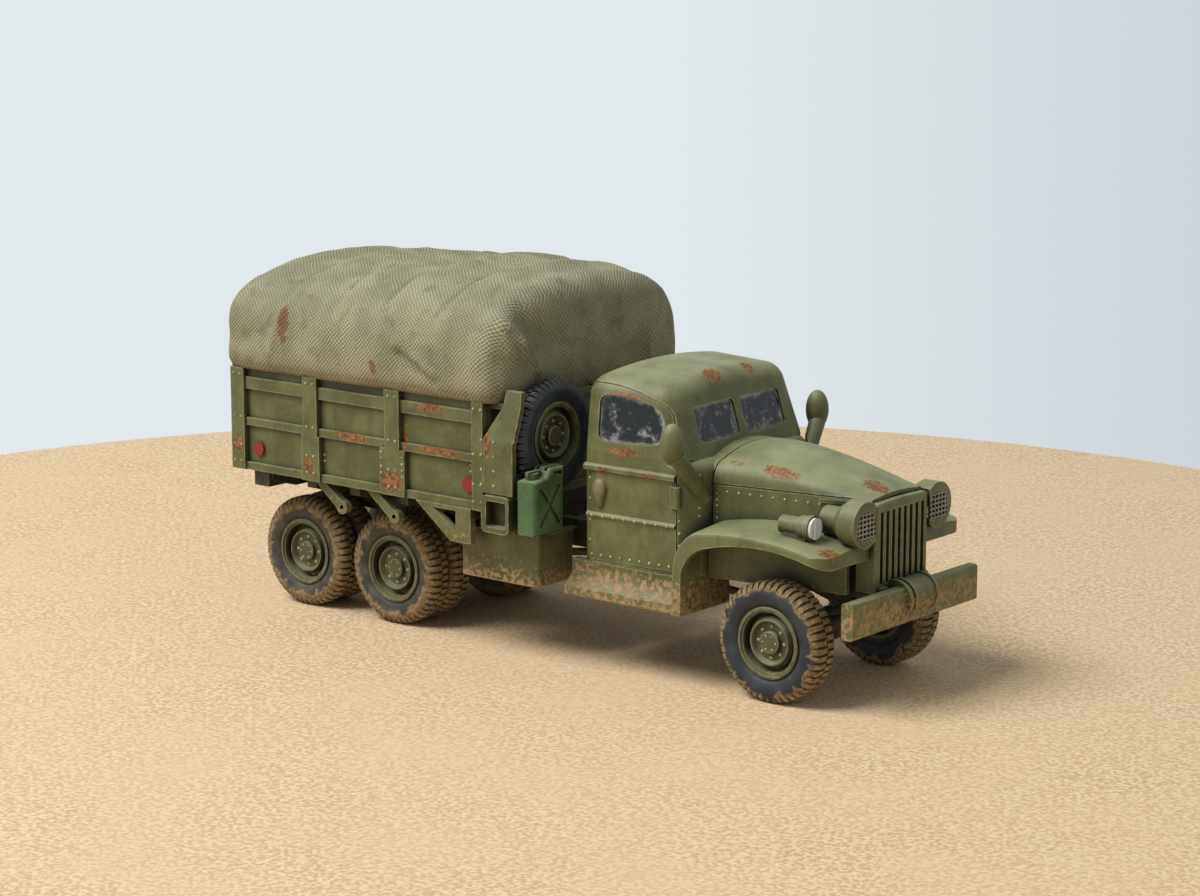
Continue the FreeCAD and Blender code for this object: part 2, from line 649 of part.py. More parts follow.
def window_outline(grow):
    g = grow
    k = 0.7 * grow
    low, top = BELT_Z, CAB_TOP
    return [(10.8 - g, low + 2.5), (11.2 - k, low + 1.65 - k, "arc"), (12.3, low + 1.4 - g),
            (19.9, low + 1.7 - g), (20.65 + k, low + 1.95 - k, "arc"), (20.95 + g, low + 2.6),
            (21.25 + g, top - 6.8), (20.6 + k, top - 5.1 + k, "arc"), (19.0, top - 4.05 + g),
            (16.0, top - 3.55 + g, "arc"), (12.4, top - 3.4 + g), (11.15 - k, top - 3.8 + k, "arc"),
            (10.8 - g, top - 5.0)]


def screen_x(z):
    return SCREEN_FOOT_X - SCREEN_SLOPE * (z - BELT_Z)


def screen_opening(side, grow):
    """Prism through one half of the windscreen."""
    y0, y1 = sorted((side * (PILLAR_HALF - grow), side * (SCREEN_HALF + grow)))
    z0, z1 = SCREEN_LOW - grow, SCREEN_TOP + grow
    r = 0.6
    k = r * 0.3
    pts = [(y0, z0 + r), (y0 + k, z0 + k, "arc"), (y0 + r, z0), (y1 - r, z0), (y1 - k, z0 + k, "arc"),
           (y1, z0 + r), (y1, z1 - r), (y1 - k, z1 - k, "arc"), (y1 - r, z1), (y0 + r, z1),
           (y0 + k, z1 - k, "arc"), (y0, z1 - r)]
    return prism_x(pts, 19.0, 27.0)


def rear_opening(grow):
    g = grow
    return box(CAB_REAR - 1, CAB_REAR + 3, -4.6 - g, 4.6 + g, BELT_Z + 2.8 - g, CAB_TOP - 4.4 + g)


# mouldings along the cab side: low and high edge below the belt, how far they stand proud
UPPER_STRIP = (2.8, 1.75, 0.4)


LOWER_STRIP = (9.05, 8.3, 0.3)


def strip(x0, x1, moulding):
    """Length of half-round moulding on the right cab wall."""
    low, high, proud = BELT_Z - moulding[0], BELT_Z - moulding[1], moulding[2]
    wires = []
    for x in (x0, x1):
        y = -wall_y(x)
        corners = [V(x, y + 0.6, low), V(x, y - 0.05, low), V(x, y - proud, low + 0.28),
                   V(x, y - proud, high - 0.28), V(x, y - 0.05, high), V(x, y + 0.6, high)]
        wires.append(Part.makePolygon(corners + corners[:1]))
    return loft(wires, True)


def cab_shell():
    shell = cab_outer().cut(cabin(SKIN))
    shell = shell.cut(box(20.0, COWL_FRONT - SKIN, -8.9, 8.9, CAB_LOW - 1, BELT_Z - 0.6))
    for s in (-1, 1):
        shell = shell.cut(screen_opening(s, 0.0))
        y0, y1 = sorted((s * 10.4, s * 16.0))
        shell = shell.cut(prism_y(door_outline(DOOR_GAP), y0, y1))
    over_rails = RAIL_OUT + GAP
    shell = shell.cut(box(CAB_REAR - 1, COWL_FRONT + 1, -over_rails, over_rails, CAB_LOW - 1, RAIL_TOP + GAP))
    return shell.cut(rear_opening(0.0))


def egg(length, width, height, x, y, z):
    """Ellipsoid with the given full sizes, centred on x, y, z."""
    stretch = FreeCAD.Matrix()
    stretch.scale(length / 2, width / 2, height / 2)
    return moved(Part.makeSphere(1.0, V(0, 0, 0)).transformGeometry(stretch), x, y, z)


def door_hinge():
    """Leaf on the door and the upright knuckle that bridges the seam, clear of the cowl."""
    y = -wall_y(DOOR_FRONT)
    leaf_plate = box(22.9, 24.0, y - 0.35, y + 0.3, BELT_Z - 6.1, BELT_Z - 3.25)
    knuckle = rod((24.0, y - 0.2, BELT_Z - 6.1), (24.0, y - 0.2, BELT_Z - 3.25), 0.5)
    ahead = box(DOOR_FRONT, 30, -20, 0, CAB_LOW, BELT_Z)
    return joined([leaf_plate, knuckle]).cut(prism_z(cowl_plan(GAP), CAB_LOW, BELT_Z).common(ahead))


def door_back():
    """Everything further in than the back of a door, by planes that run on past pillar and roof."""
    inset = SKIN + 0.3
    wires = []
    for z in (CAB_LOW - 1, BELT_Z, CAB_TOP + 2):
        lift = max(0.0, z - BELT_Z)
        front = SCREEN_FOOT_X - SCREEN_SLOPE * lift
        wide = wall_y(CAB_REAR, inset) - SIDE_LEAN * lift
        narrow = wall_y(front, inset) - PILLAR_LEAN * lift
        slope = (wide - narrow) / (front - CAB_REAR)
        ends = [(x, narrow + slope * (front - x)) for x in (CAB_REAR - 3.0, front + 4.0)]
        (x0, y0), (x1, y1) = ends
        wires.append(Part.makePolygon([V(x0, -y0, z), V(x1, -y1, z), V(x1, 0, z), V(x0, 0, z), V(x0, -y0, z)]))
    return loft(wires[:2], True).fuse(loft(wires[1:], True))


def door(side):
    """Door skin cut from the cab wall, with its window, mouldings, handle and hinge."""
    panel = cab_outer().common(prism_y(door_outline(0.0), -16.0, -8.0)).cut(cabin(SKIN)).cut(door_back())
    panel = panel.cut(prism_y(window_outline(0.0), -16.0, -10.45))
    extras = [strip(DOOR_REAR + 0.05, DOOR_FRONT - 0.1, UPPER_STRIP),
              strip(DOOR_REAR + 0.4, DOOR_FRONT - 0.1, LOWER_STRIP),
              egg(2.3, 1.5, 3.0, 11.3, -wall_y(11.3), BELT_Z - 5.2),
              egg(1.6, 1.2, 2.6, 11.3, -wall_y(11.3), BELT_Z - 6.5), door_hinge()]
    whole = panel.multiFuse(extras)
    return whole if side < 0 else mirrored(whole)


def window_glass():
    """Panes for both doors, both halves of the windscreen and the rear window."""
    layer = cabin(0.35).cut(cabin(0.75))
    panes = [layer.common(screen_opening(s, -GAP)) for s in (-1, 1)]
    for s in (-1, 1):
        y0, y1 = sorted((s * 10.45, s * 16.0))
        panes.append(layer.common(prism_y(window_outline(-GAP), y0, y1)))
    panes.append(layer.common(rear_opening(-GAP)))
    return Part.makeCompound(panes)


def cab_floor():
    """Floor pan on the rails, closed in front by the toe board."""
    return cabin(SKIN + 2 * GAP).common(box(0, 40, -20, 20, RAIL_TOP, RAIL_TOP + 0.8))


def bench_seat():
    cushion = box(10.0, 17.0, -12.0, 12.0, 18.2, 23.0)
    back = prism_y([(8.9, 18.2), (10.4, 18.2), (9.9, 32.0), (8.7, 32.0)], -12.0, 12.0)
    return joined([cushion, back])


def dashboard():
    front = SCREEN_FOOT_X - SKIN - GAP
    return box(front - 1.45, front, -10.1, 10.1, BELT_Z - 2.8, BELT_Z - 0.1)


def steering_wheel():
    hub = V(19.8, 6.2, 30.2)
    hoop = ring(2.6, 0.3, hub, V(-0.5, 0, 0.87))
    spoke = rod((17.55, 6.2, 28.9), (22.05, 6.2, 31.5), 0.2)
    column = rod((hub.x, hub.y, hub.z), (23.25, 6.2, 24.2), 0.32)
    cross = rod((19.8, 3.6, 30.2), (19.8, 8.8, 30.2), 0.2)
    toe = rod((23.25, 6.2, 24.2), (25.05, 6.2, 21.04), 0.32)
    return joined([hoop, spoke, cross, column, toe])


def mirror(side):
    """Egg-shaped head on a thick arm that grows out of the cowl."""
    head = egg(3.2, 3.1, 5.4, 24.6, 16.2, 32.6)
    arm = cone((26.0, 10.9, 24.6), (24.9, 15.8, 31.0), 0.95, 1.15)
    whole = clear_of_cab(joined([head, arm]))
    whole = sorted(whole.Solids, key=lambda s: s.Volume)[-1]
    return whole if side > 0 else mirrored(whole)


# ---- nose, fenders and lamps ---------------------------------------------------------------------
def grille():
    """Radiator shell face with a rounded front edge and upright slots between its bars."""
    back = NOSE_X - GRILLE_T
    steps = ((back, 0.0), (NOSE_X - 0.4, 0.0), (NOSE_X - 0.12, 0.12), (NOSE_X, 0.4))
    wires = [bonnet_wire(x, GRILLE_HALF - g, 26.0 - 0.4 * g, 26.45 - g, GRILLE_LOW) for x, g in steps]
    plate = loft(wires, True)
    pitch = 1.33
    for i in range(SLOTS):
        y = (i - (SLOTS - 1) / 2) * pitch
        plate = plate.cut(box(back - 1, NOSE_X + 1, y - 0.34, y + 0.34, 15.6, 25.1))
    cheeks = [box(NOSE_X - 3.0, back, min(s * 5.2, s * 5.98), max(s * 5.2, s * 5.98), GRILLE_LOW, 20.4)
              for s in (-1, 1)]
    whole = joined([plate] + cheeks)
    for s in (-1, 1):
        y0, y1 = sorted((s * (RAIL_IN - GAP), s * (RAIL_OUT + GAP)))
        whole = whole.cut(box(NOSE_X - 4, NOSE_X + 1, y0, y1, GRILLE_LOW - 1, RAIL_NOSE_TOP + GAP))
    return whole


def radiator():
    return box(NOSE_X - 3.4, NOSE_X - 2.0, -4.9, 4.9, RAIL_TOP, 25.0)


def fender_top(lift):
    """Top line of the fender in side view, from the foot of its rear leg to the tip."""
    return [(FENDER_REAR, BOARD_LOW), (FENDER_REAR + 0.2, 16.4 + 0.5 * lift), (25.6, 19.1 + lift, "arc"),
            (28.2, 21.3 + lift), (37.0, 22.0 + lift, "arc"), (FENDER_TIP, 20.45 + lift)]


def fender_section(y, lift, under):
    """Closed wire at y: the top line, then the given lower edge back to the foot."""
    tagged = [(V(p[0], y, p[1]), "arc" if len(p) > 2 else "") for p in fender_top(lift) + under]
    tagged.append(tagged[0])
    return Part.Wire(path(tagged))


def fender_hollow():
    """Space under the skin, open below, that leaves the turned-down lip outside and at the tip."""
    tip = FENDER_TIP - FENDER_T

    def section(y, lift):
        points = [(ARCH_REAR, 8.0), (ARCH_REAR, 16.8 + 0.5 * lift), (27.0, 19.3 + lift, "arc"),
                  (29.0, 20.5 + lift), (37.0, 22.0 - FENDER_T + lift, "arc"),
                  (tip, 20.6 - FENDER_T + lift), (tip, 8.0)]
        tagged = [(V(p[0], y, p[1]), "arc" if len(p) > 2 else "") for p in points]
        tagged.append(tagged[0])
        return Part.Wire(path(tagged))
    space = loft([section(FENDER_IN - 1, 1.0), section(FENDER_OUT - FENDER_T, 0.15)], True)
    return space.cut(plan_corner(FENDER_TURN - FENDER_T))


def plan_corner(radius):
    """What the rounded tip leaves over, seen in plan; all radii share one centre."""
    x, y = FENDER_TIP - FENDER_TURN, FENDER_OUT - FENDER_TURN
    return box(x, x + 5, y, y + 5, 5, 30).cut(rod((x, y, 4), (x, y, 31), radius))


def under_fender_top(grow):
    """Everything below the crowned top of the fender, grown by grow."""
    under = [(FENDER_TIP, BOARD_LOW)]
    return loft([fender_section(FENDER_IN, 1.0 + grow, under),
                 fender_section(FENDER_OUT - FENDER_T, 0.15 + grow, under)], True)


def fender(side):
    """Crowned fender with a turned-down lip, its splash wall and the inner apron by the bonnet."""
    under = [(FENDER_TIP, 19.0), (38.5, 20.75, "arc"), (30.3, 19.6), (27.6, 18.2, "arc"),
             (ARCH_REAR, 15.6), (ARCH_REAR, BOARD_LOW)]
    out = FENDER_OUT
    places = ((FENDER_IN, 1.0), (out - FENDER_T, 0.15), (out - 0.4, 0.04), (out - 0.1, -0.16), (out, -0.45))
    form = loft([fender_section(y, lift, under) for y, lift in places], True)
    form = form.cut(plan_corner(FENDER_TURN)).cut(fender_hollow())
    leg_cut = box(FENDER_REAR - 1, ARCH_REAR - 0.85, FENDER_IN - 1, out - FENDER_T, BOARD_LOW - 1, 16.3)
    apron = bonnet_solid(GAP + 0.75, -0.1, 0.0, 14.2).cut(bonnet_solid(GAP, 0.5, 0.5, 14.0))
    apron = apron.common(under_fender_top(0.0)).common(box(COWL_FRONT, NOSE_X - 3.6, FENDER_IN, 11, 14.2, 24))
    whole = joined([form.cut(leg_cut), apron])
    whole = clear_of_cab(whole.cut(bonnet_solid(GAP, 0.0, 0.0, 10.0)))
    whole = whole.cut(box(NOSE_X - 1.6, NOSE_X + 1, 0, GRILLE_HALF + GAP, 10, 27.6))
    whole = whole.cut(headlamp_body(GAP, 1))
    keep = sorted(whole.Solids, key=lambda s: s.Volume)[-1]
    return keep if side > 0 else mirrored(keep)


def running_board(side):
    """Step with a rounded edge that sweeps up to the foot of the door."""
    pts = [(12.6, BOARD_LOW), (16.0, BOARD_LOW), (16.22, BOARD_LOW + 0.1, "arc"), (FENDER_OUT, BOARD_LOW + 0.4),
           (FENDER_OUT, BOARD_TOP - 0.35), (16.2, BOARD_TOP - 0.1, "arc"), (15.9, BOARD_TOP),
           (14.95, 12.35, "arc"), (14.7, CAB_LOW), (13.2, CAB_LOW), (13.2, BOARD_TOP), (12.6, BOARD_TOP)]
    board = prism_x(pts, BOARD_REAR, FENDER_REAR - GAP)
    return board if side > 0 else mirrored(board)


def headlamp_body(grow, side):
    """Cup and stepped neck, without the lens recess."""
    front = LAMP_X + grow
    r = LAMP_R + grow
    cup = rod((front - 2.4 - grow, LAMP_Y, LAMP_Z), (front, LAMP_Y, LAMP_Z), r)
    taper = cone((front - 3.6 - grow, LAMP_Y, LAMP_Z), (front - 2.4 - grow, LAMP_Y, LAMP_Z), 2.2 + grow, r)
    neck = rod((NOSE_X - 6.0 - grow, LAMP_Y, LAMP_Z), (front - 3.5, LAMP_Y, LAMP_Z), 1.9 + grow)
    body = joined([cup, taper, neck])
    return body if side > 0 else mirrored(body)


def lens_outline(grow):
    """Lens in front view: a rounded square, a little wider at its foot."""
    high, low = LENS_Z + LENS_H / 2 + grow, LENS_Z - LENS_H / 2 - grow
    up, down = LENS_TOP_W / 2 + grow, LENS_FOOT_W / 2 + grow
    r = 0.8
    k = 0.3 * r
    right = [(down - r, low), (down - k, low + k, "arc"), (down - 0.05, low + r), (up + 0.05, high - r),
             (up - k, high - k, "arc"), (up - r, high)]
    left = [(-p[0], p[1]) + p[2:] for p in reversed(right)]
    return [(LAMP_Y + p[0], p[1]) + p[2:] for p in right + left]


def headlamp(side):
    body = headlamp_body(0.0, 1).cut(prism_x(lens_outline(0.0), LAMP_X - 1.0, LAMP_X + 1))
    body = body.cut(bonnet_solid(GAP, 2.0, 3.0, 10.0))
    body = body.cut(box(NOSE_X - 5.6, NOSE_X + GAP, -7, GRILLE_HALF + GAP, 10, 27.6))
    keep = sorted(body.Solids, key=lambda s: s.Volume)[-1]
    return keep if side > 0 else mirrored(keep)


def headlamp_lenses():
    one = prism_x(lens_outline(-GAP), LAMP_X - 1.0, LAMP_X - 0.45)
    one = one.cut(box(NOSE_X - 5.6, NOSE_X + GAP, -7, GRILLE_HALF + GAP, 10, 27.6))
    return Part.makeCompound([one, mirrored(one)])


def headlamp_guards():
    """Grid of flat bars across each lens: five upright and six level."""
    x0, x1 = LAMP_X - 0.4, LAMP_X
    bars = []
    for i in range(5):
        y = LAMP_Y + (i - 2) * 0.8
        bars.append(box(x0, x1, y - 0.11, y + 0.11, LENS_Z - LENS_H / 2, LENS_Z + LENS_H / 2))
    for i in range(6):
        z = LENS_Z + (i - 2.5) * 0.62
        bars.append(box(x0, x1, LAMP_Y - LENS_FOOT_W / 2, LAMP_Y + LENS_FOOT_W / 2, z - 0.11, z + 0.11))
    grid = joined(bars).common(prism_x(lens_outline(-GAP), x0 - 1, x1 + 1))
    return Part.makeCompound([grid, mirrored(grid)])


def marker_lamp(side):
    """Stepped side lamp standing on the fender."""
    y, z = MARKER_Y, MARKER_Z
    steps = [rod((39.5, y, z), (42.6, y, z), 1.2), rod((42.5, y, z), (43.8, y, z), 1.5),
             rod((43.7, y, z), (44.3, y, z), 1.65)]
    foot = box(40.2, 43.6, y - 0.9, y + 0.9, 20.5, z - 0.8)
    body = joined(steps + [foot]).cut(under_fender_top(GAP))
    keep = sorted(body.Solids, key=lambda s: s.Volume)[-1]
    return keep if side > 0 else mirrored(keep)


def marker_lenses():
    y, z = MARKER_Y, MARKER_Z
    one = rod((44.32, y, z), (44.7, y, z), 1.4).cut(under_fender_top(GAP))
    return Part.makeCompound([one, mirrored(one)])


# ---- spare wheel, guards, can and tanks -----------------------------------------------------------
def facing_forward(shape, x_in):
    """Turn a wheel built along Y to face +X, its inboard face at x_in."""
    turned = shape.copy()
    turned.rotate(V(0, 0, 0), V(0, 0, 1), -90)
    return moved(turned, x_in, SPARE_Y, SPARE_Z)


def spare_x():
    return CANVAS_FRONT + 0.15


def spare_tyre():
    return facing_forward(tyre(SPARE_W, SPARE_R, RIM_R + SEAT), spare_x())


def spare_rim():
    return facing_forward(rim(SPARE_W, 1.2, 3.4, 1.4), spare_x())


def spare_carrier():
    """Boss on the front wall with the stud that the spare hangs on."""
    x0 = BED_FRONT - 0.85
    boss = rod((x0, SPARE_Y, SPARE_Z), (spare_x() + 0.9, SPARE_Y, SPARE_Z), 1.6)
    stud = rod((x0, SPARE_Y, SPARE_Z), (spare_x() + SPARE_W - PIN_SHORT, SPARE_Y, SPARE_Z), PIN_R)
    return joined([boss, stud])


def spare_guard(side):
    """Riveted plate beside the body with a leaning shield above it."""
    out = BED_HALF
    x0, x1 = BED_FRONT + 0.1, 0.9
    plate = box(x0, x1, out - 0.8, out, 23.1, 30.4)
    levels = ((30.4, 0.0, x0, x1 + 0.2), (34.9, 1.0, -1.5, 1.5), (37.1, 1.5, -1.3, 1.3))
    wires = []
    for z, lean, a, b in levels:
        corners = [V(a, out - lean, z), V(b, out - lean, z), V(b, out - lean - 0.8, z), V(a, out - lean - 0.8, z)]
        wires.append(Part.makePolygon(corners + corners[:1]))
    whole = joined([plate, loft(wires[:2], True), loft(wires[1:], True)])
    return whole if side > 0 else mirrored(whole)


def step_box(side):
    """Square frame with a deep recess, used as a foothold."""
    x0, x1 = BED_FRONT + GAP, 0.5
    y0, y1 = BED_HALF - 2.0, BED_HALF + 0.4
    z0, z1 = 17.8, 22.9
    outer = box(x0, x1, y0, y1, z0, z1)
    outer = outer.makeFillet(0.8, [e for e in outer.Edges if e.BoundBox.YLength > 2])
    recess = box(x0 + 0.85, x1 - 0.5, y0 + 0.8, y1 + 1, z0 + 0.8, z1 - 0.75)
    recess = recess.makeFillet(0.4, [e for e in recess.Edges if e.BoundBox.YLength > 1.5])
    body = outer.cut(recess)
    hook = box(x0, x0 + 1.2, y0 + 0.5, y0 + 1.6, z1 - 0.3, 23.05)
    whole = joined([body, hook])
    return whole if side > 0 else mirrored(whole)


def can_cross(x0, x1, y0, y1, z0, z1):
    """Two crossed bars filling a rectangle, for the pressing in the side of a can."""
    bars = []
    for a, b in ((z0, z1), (z1, z0)):
        w = 0.45 if b > a else -0.45
        bars.append(prism_x([(y0, a), (y0 + 0.45, a), (y1, b - w), (y1, b), (y1 - 0.45, b), (y0, a + w)], x0, x1))
    return joined(bars)


def jerrycan():
    """Pressed can with a sloped shoulder, crossed pressings, three bars for a handle and a cap."""
    x0, x1 = CAN_X, CAN_X + CAN_LONG
    y_out, y_in = -(BED_HALF + 0.1), -(BED_HALF - 6.1)
    z0 = CAN_FOOT
    body = prism_x([(y_out, z0), (y_in, z0), (y_in, 27.0), (y_in - 2.6, 27.0), (y_in - 3.4, 25.9),
                    (y_out, 25.5)], x0, x1)
    body = body.makeFillet(0.6, [e for e in body.Edges if e.BoundBox.XLength < 1e-6 or e.BoundBox.ZLength > 6])
    body = body.cut(box(x0 - 1, x1 + 1, y_in - 2.2, y_in - 0.6, 25.9, 26.5))
    for x in (x0 + 0.95, x1 - 0.95):
        body = body.cut(box(x - 0.22, x + 0.22, y_in - 2.9, y_in + 1, 26.2, 28))
    for a, b in ((x1 - 0.3, x1 + 1), (x0 - 1, x0 + 0.3)):
        body = body.cut(can_cross(a, b, y_out + 1.0, y_in - 1.0, z0 + 1.0, 24.6))
    middle = 0.5 * (x0 + x1)
    spout = rod((middle, y_out + 1.5, 25.3), (middle, y_out + 1.5, 26.5), 0.8)
    lever = box(middle - 0.25, middle + 0.25, y_out + 0.3, y_out + 2.9, 26.2, 26.75)
    return joined([body, spout, lever])


def can_shelf():
    """Small ledge from the tank up to the can's foot."""
    return box(CAN_X + 0.02, TANK_FRONT - 0.05, -(TANK_OUT - 0.4), -(TANK_OUT - 2.4), TANK_TOP, CAN_FOOT)


def fuel_tank(side):
    block = box(TANK_REAR, TANK_FRONT, TANK_IN, TANK_OUT, TANK_LOW, TANK_TOP)
    ends = [e for e in block.Edges if e.BoundBox.ZLength > 5 and e.BoundBox.YMin > TANK_OUT - 0.1]
    block = block.makeFillet(1.0, ends)
    return block if side > 0 else mirrored(block)


# ---- write every piece -----------------------------------------------------------------------------
def both(build):
    """The left and right pieces of one kind as one group of solids."""
    return Part.makeCompound([build(1), build(-1)])


def carried():
    """Pieces that ride above the springs, drawn for wheels of the radius DRAWN_R."""
    nodes = {
        "chassis_frame": chassis_frame(),
        "front_bumper": front_bumper(),
        "tow_hook": tow_hook(),
        "engine_block": engine_block(),
        "bed_floor": bed_floor(),
        "bed_front_wall": front_wall(),
        "tailgate": end_panel(BED_REAR + SIDE_T, BED_REAR),
        "body_brackets": both(body_brackets),
        "canvas_cover": canvas_cover(),
        "reflectors": Part.makeCompound([reflectors(), tail_lamps()]),
        "cab_shell": cab_shell(),
        "window_glass": window_glass(),
        "cab_floor": cab_floor(),
        "bench_seat": bench_seat(),
        "dashboard": dashboard(),
        "steering_wheel": steering_wheel(),
        "mirrors": both(mirror),
        "bonnet": bonnet(),
        "grille": grille(),
        "radiator": radiator(),
        "running_boards": both(running_board),
        "headlamps": both(headlamp),
        "headlamp_guards": headlamp_guards(),
        "marker_lamps": both(marker_lamp),
        "lamp_lenses": Part.makeCompound([headlamp_lenses(), marker_lenses()]),
        "spare_tyre": spare_tyre(),
        "spare_rim": spare_rim(),
        "spare_guards": both(spare_guard),
        "step_boxes": both(step_box),
        "jerrycan": jerrycan(),
        "fuel_tanks": Part.makeCompound([fuel_tank(1), joined([fuel_tank(-1), can_shelf()])]),
    }
    for name, side in (("left", 1), ("right", -1)):
        nodes["side_panel_" + name] = side_panel(side)
        nodes["door_" + name] = door(side)
        nodes["fender_" + name] = fender(side)
    return {name: moved(shape, z=RISE) for name, shape in nodes.items()}


def running_gear():
    """Axles, springs, shafts and wheels, built at their real height."""
    twin = 2 * TWIN_W + TWIN_GAP
    nodes = {
        "front_axle": axle(FRONT_AXLE_X, TYRE_W, 0.0),
        "middle_axle": axle(REAR_AXLE_X[0], twin, 0.0),
        "rear_axle": axle(REAR_AXLE_X[1], twin, 0.0),
        "leaf_springs": Part.makeCompound([front_springs(), rear_springs()]),
        "transmission": transmission(),
    }
    for name, side in (("left", 1), ("right", -1)):
        nodes["front_tyre_" + name], nodes["front_rim_" + name] = front_wheel(side)
        for place, axle_x in (("middle", REAR_AXLE_X[0]), ("rear", REAR_AXLE_X[1])):
            rubber, metal = twin_wheel(side, axle_x)
            nodes[place + "_tyres_" + name] = rubber
            nodes[place + "_rims_" + name] = metal
    return nodes


def main():
    os.makedirs("parts", exist_ok=True)
    nodes = {**carried(), **running_gear()}
    for name, shape in nodes.items():
        shape.exportStep("parts/" + name + ".step")
        print(f"{name:22s} solids {len(shape.Solids)} volume {shape.Volume:9.2f} valid {shape.isValid()}")


main()
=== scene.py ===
"""A weathered 1:56 collector's model of a six-wheeled military cargo truck.

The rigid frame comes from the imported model; this script gives it its paint, tyres, cloth cover,
rivets and dirt.  Metres, or millimetres times MM, +X forward, +Y to the driver's left, +Z up from the ground.
"""
import math

import bmesh
import bpy
from mathutils import Matrix, Vector, noise


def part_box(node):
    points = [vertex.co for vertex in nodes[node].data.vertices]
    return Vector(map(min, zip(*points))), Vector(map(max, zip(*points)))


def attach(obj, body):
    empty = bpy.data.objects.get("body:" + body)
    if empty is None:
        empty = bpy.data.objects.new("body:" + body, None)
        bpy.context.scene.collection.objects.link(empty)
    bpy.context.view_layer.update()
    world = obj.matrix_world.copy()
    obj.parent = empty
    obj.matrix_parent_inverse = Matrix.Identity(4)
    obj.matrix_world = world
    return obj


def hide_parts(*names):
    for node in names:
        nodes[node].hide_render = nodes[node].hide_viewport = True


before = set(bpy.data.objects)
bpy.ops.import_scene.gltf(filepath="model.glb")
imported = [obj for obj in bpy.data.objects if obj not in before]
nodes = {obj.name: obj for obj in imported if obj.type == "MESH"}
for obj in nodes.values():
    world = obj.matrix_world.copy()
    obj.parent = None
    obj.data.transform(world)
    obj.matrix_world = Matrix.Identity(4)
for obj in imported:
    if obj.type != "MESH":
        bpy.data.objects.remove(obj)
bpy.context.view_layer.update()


# ---- the board, the backdrop, the lamps and the camera ---------------------------------------
# The model stands in the middle of a round table top of pale fibreboard, cut and sanded, in front
# of a pale blue-grey wall with painted shade darkening it towards one side, under one broad soft lamp
# from the upper left and a weaker one in front.
def colour(code):
    """An sRGB hex value as linear RGBA."""
    parts = [int(code[i:i + 2], 16) / 255 for i in (1, 3, 5)]
    return [c / 12.92 if c <= 0.04045 else ((c + 0.055) / 1.055) ** 2.4 for c in parts] + [1.0]


def add(tree, kind, inputs=None, out=0, **settings):
    """Adds one node with its settings and links, and returns the output asked for."""
    node = tree.nodes.new(kind)
    for name, value in settings.items():
        setattr(node, name, value)
    for key, value in (inputs or {}).items():
        if isinstance(value, bpy.types.NodeSocket):
            tree.links.new(value, node.inputs[key])
        else:
            node.inputs[key].default_value = value
    return node.outputs[out] if len(node.outputs) else None


def finish_named(name, colouring, roughness, bump=None, **values):
    """A material; its three makers take the node tree and return a socket or a plain value."""
    made = bpy.data.materials.new(name)
    made.use_nodes = True
    tree = made.node_tree
    tree.nodes.clear()
    inputs = {"Base Color": colouring(tree), "Roughness": roughness(tree)}
    if bump:
        inputs["Normal"] = bump(tree)
    inputs.update(values)
    shader = add(tree, "ShaderNodeBsdfPrincipled", inputs)
    add(tree, "ShaderNodeOutputMaterial", {"Surface": shader})
    return made


def piece_of(name, mesh, finish, smooth=True):
    """A mesh as an object at the origin, with one material."""
    mesh.name = name
    mesh.polygons.foreach_set("use_smooth", [smooth] * len(mesh.polygons))
    mesh.materials.clear()
    mesh.materials.append(finish)
    piece = bpy.data.objects.new(name, mesh)
    bpy.context.scene.collection.objects.link(piece)
    return piece


MM = 0.001                # one millimetre; a pattern's scale is its count per millimetre


def board_colours(tree):
    """Fibres 0.6 mm long, drawn coarser than real, over broad paler and darker areas."""
    place = add(tree, "ShaderNodeTexCoord", out="Object")
    fibre = add(tree, "ShaderNodeTexNoise", {"Vector": place, "Scale": 1.6 / MM, "Detail": 6.0})
    broad = add(tree, "ShaderNodeTexNoise", {"Vector": place, "Scale": 0.05 / MM, "Detail": 2.0})
    grain = add(tree, "ShaderNodeMapRange", {0: fibre, 1: 0.40, 2: 0.60})
    tone = add(tree, "ShaderNodeMix", {0: grain, 6: colour("#bf9e74"), 7: colour("#f3dcb3")}, 2,
               data_type="RGBA")
    return add(tree, "ShaderNodeMix", {0: broad, 6: tone, 7: colour("#e6caa0")}, 2, data_type="RGBA")


BOARD_R = 0.163
BOARD_THICK = 0.006
BOARD_CENTRE = (-0.0071, -0.0061)
board_finish = finish_named("sanded_fibreboard", board_colours, lambda tree: 0.8)
bm = bmesh.new()
bmesh.ops.create_cone(bm, cap_ends=True, segments=160, radius1=BOARD_R, radius2=BOARD_R, depth=BOARD_THICK)
mesh = bpy.data.meshes.new("board")
bm.to_mesh(mesh)
bm.free()
board = piece_of("board", mesh, board_finish, smooth=False)
board.location = (*BOARD_CENTRE, -BOARD_THICK / 2)

world = bpy.data.worlds.new("studio")
bpy.context.scene.world = world
world.use_nodes = True
tree = world.node_tree
tree.nodes.clear()
toward = add(tree, "ShaderNodeTexCoord", out="Generated")
# Painted shade: the wall seen behind the model is drawn darker towards one side.
sideways = add(tree, "ShaderNodeVectorMath", {0: toward, 1: (0.775, 0.632, 0.0)}, 1, operation="DOT_PRODUCT")
wall_painted_shade = add(tree, "ShaderNodeMapRange", {0: sideways, 1: 0.02, 2: 0.19})
wall = add(tree, "ShaderNodeMix", {0: wall_painted_shade, 6: colour("#e1e9ec"), 7: colour("#ced5db")}, 2, data_type="RGBA")
seen = add(tree, "ShaderNodeBackground", {"Color": wall, "Strength": 1.0})
lit = add(tree, "ShaderNodeBackground", {"Color": colour("#e9edf2"), "Strength": 0.33})
camera_ray = add(tree, "ShaderNodeLightPath", out="Is Camera Ray")
glossy_ray = add(tree, "ShaderNodeLightPath", out="Is Glossy Ray")
through_ray = add(tree, "ShaderNodeLightPath", out="Is Transmission Ray")
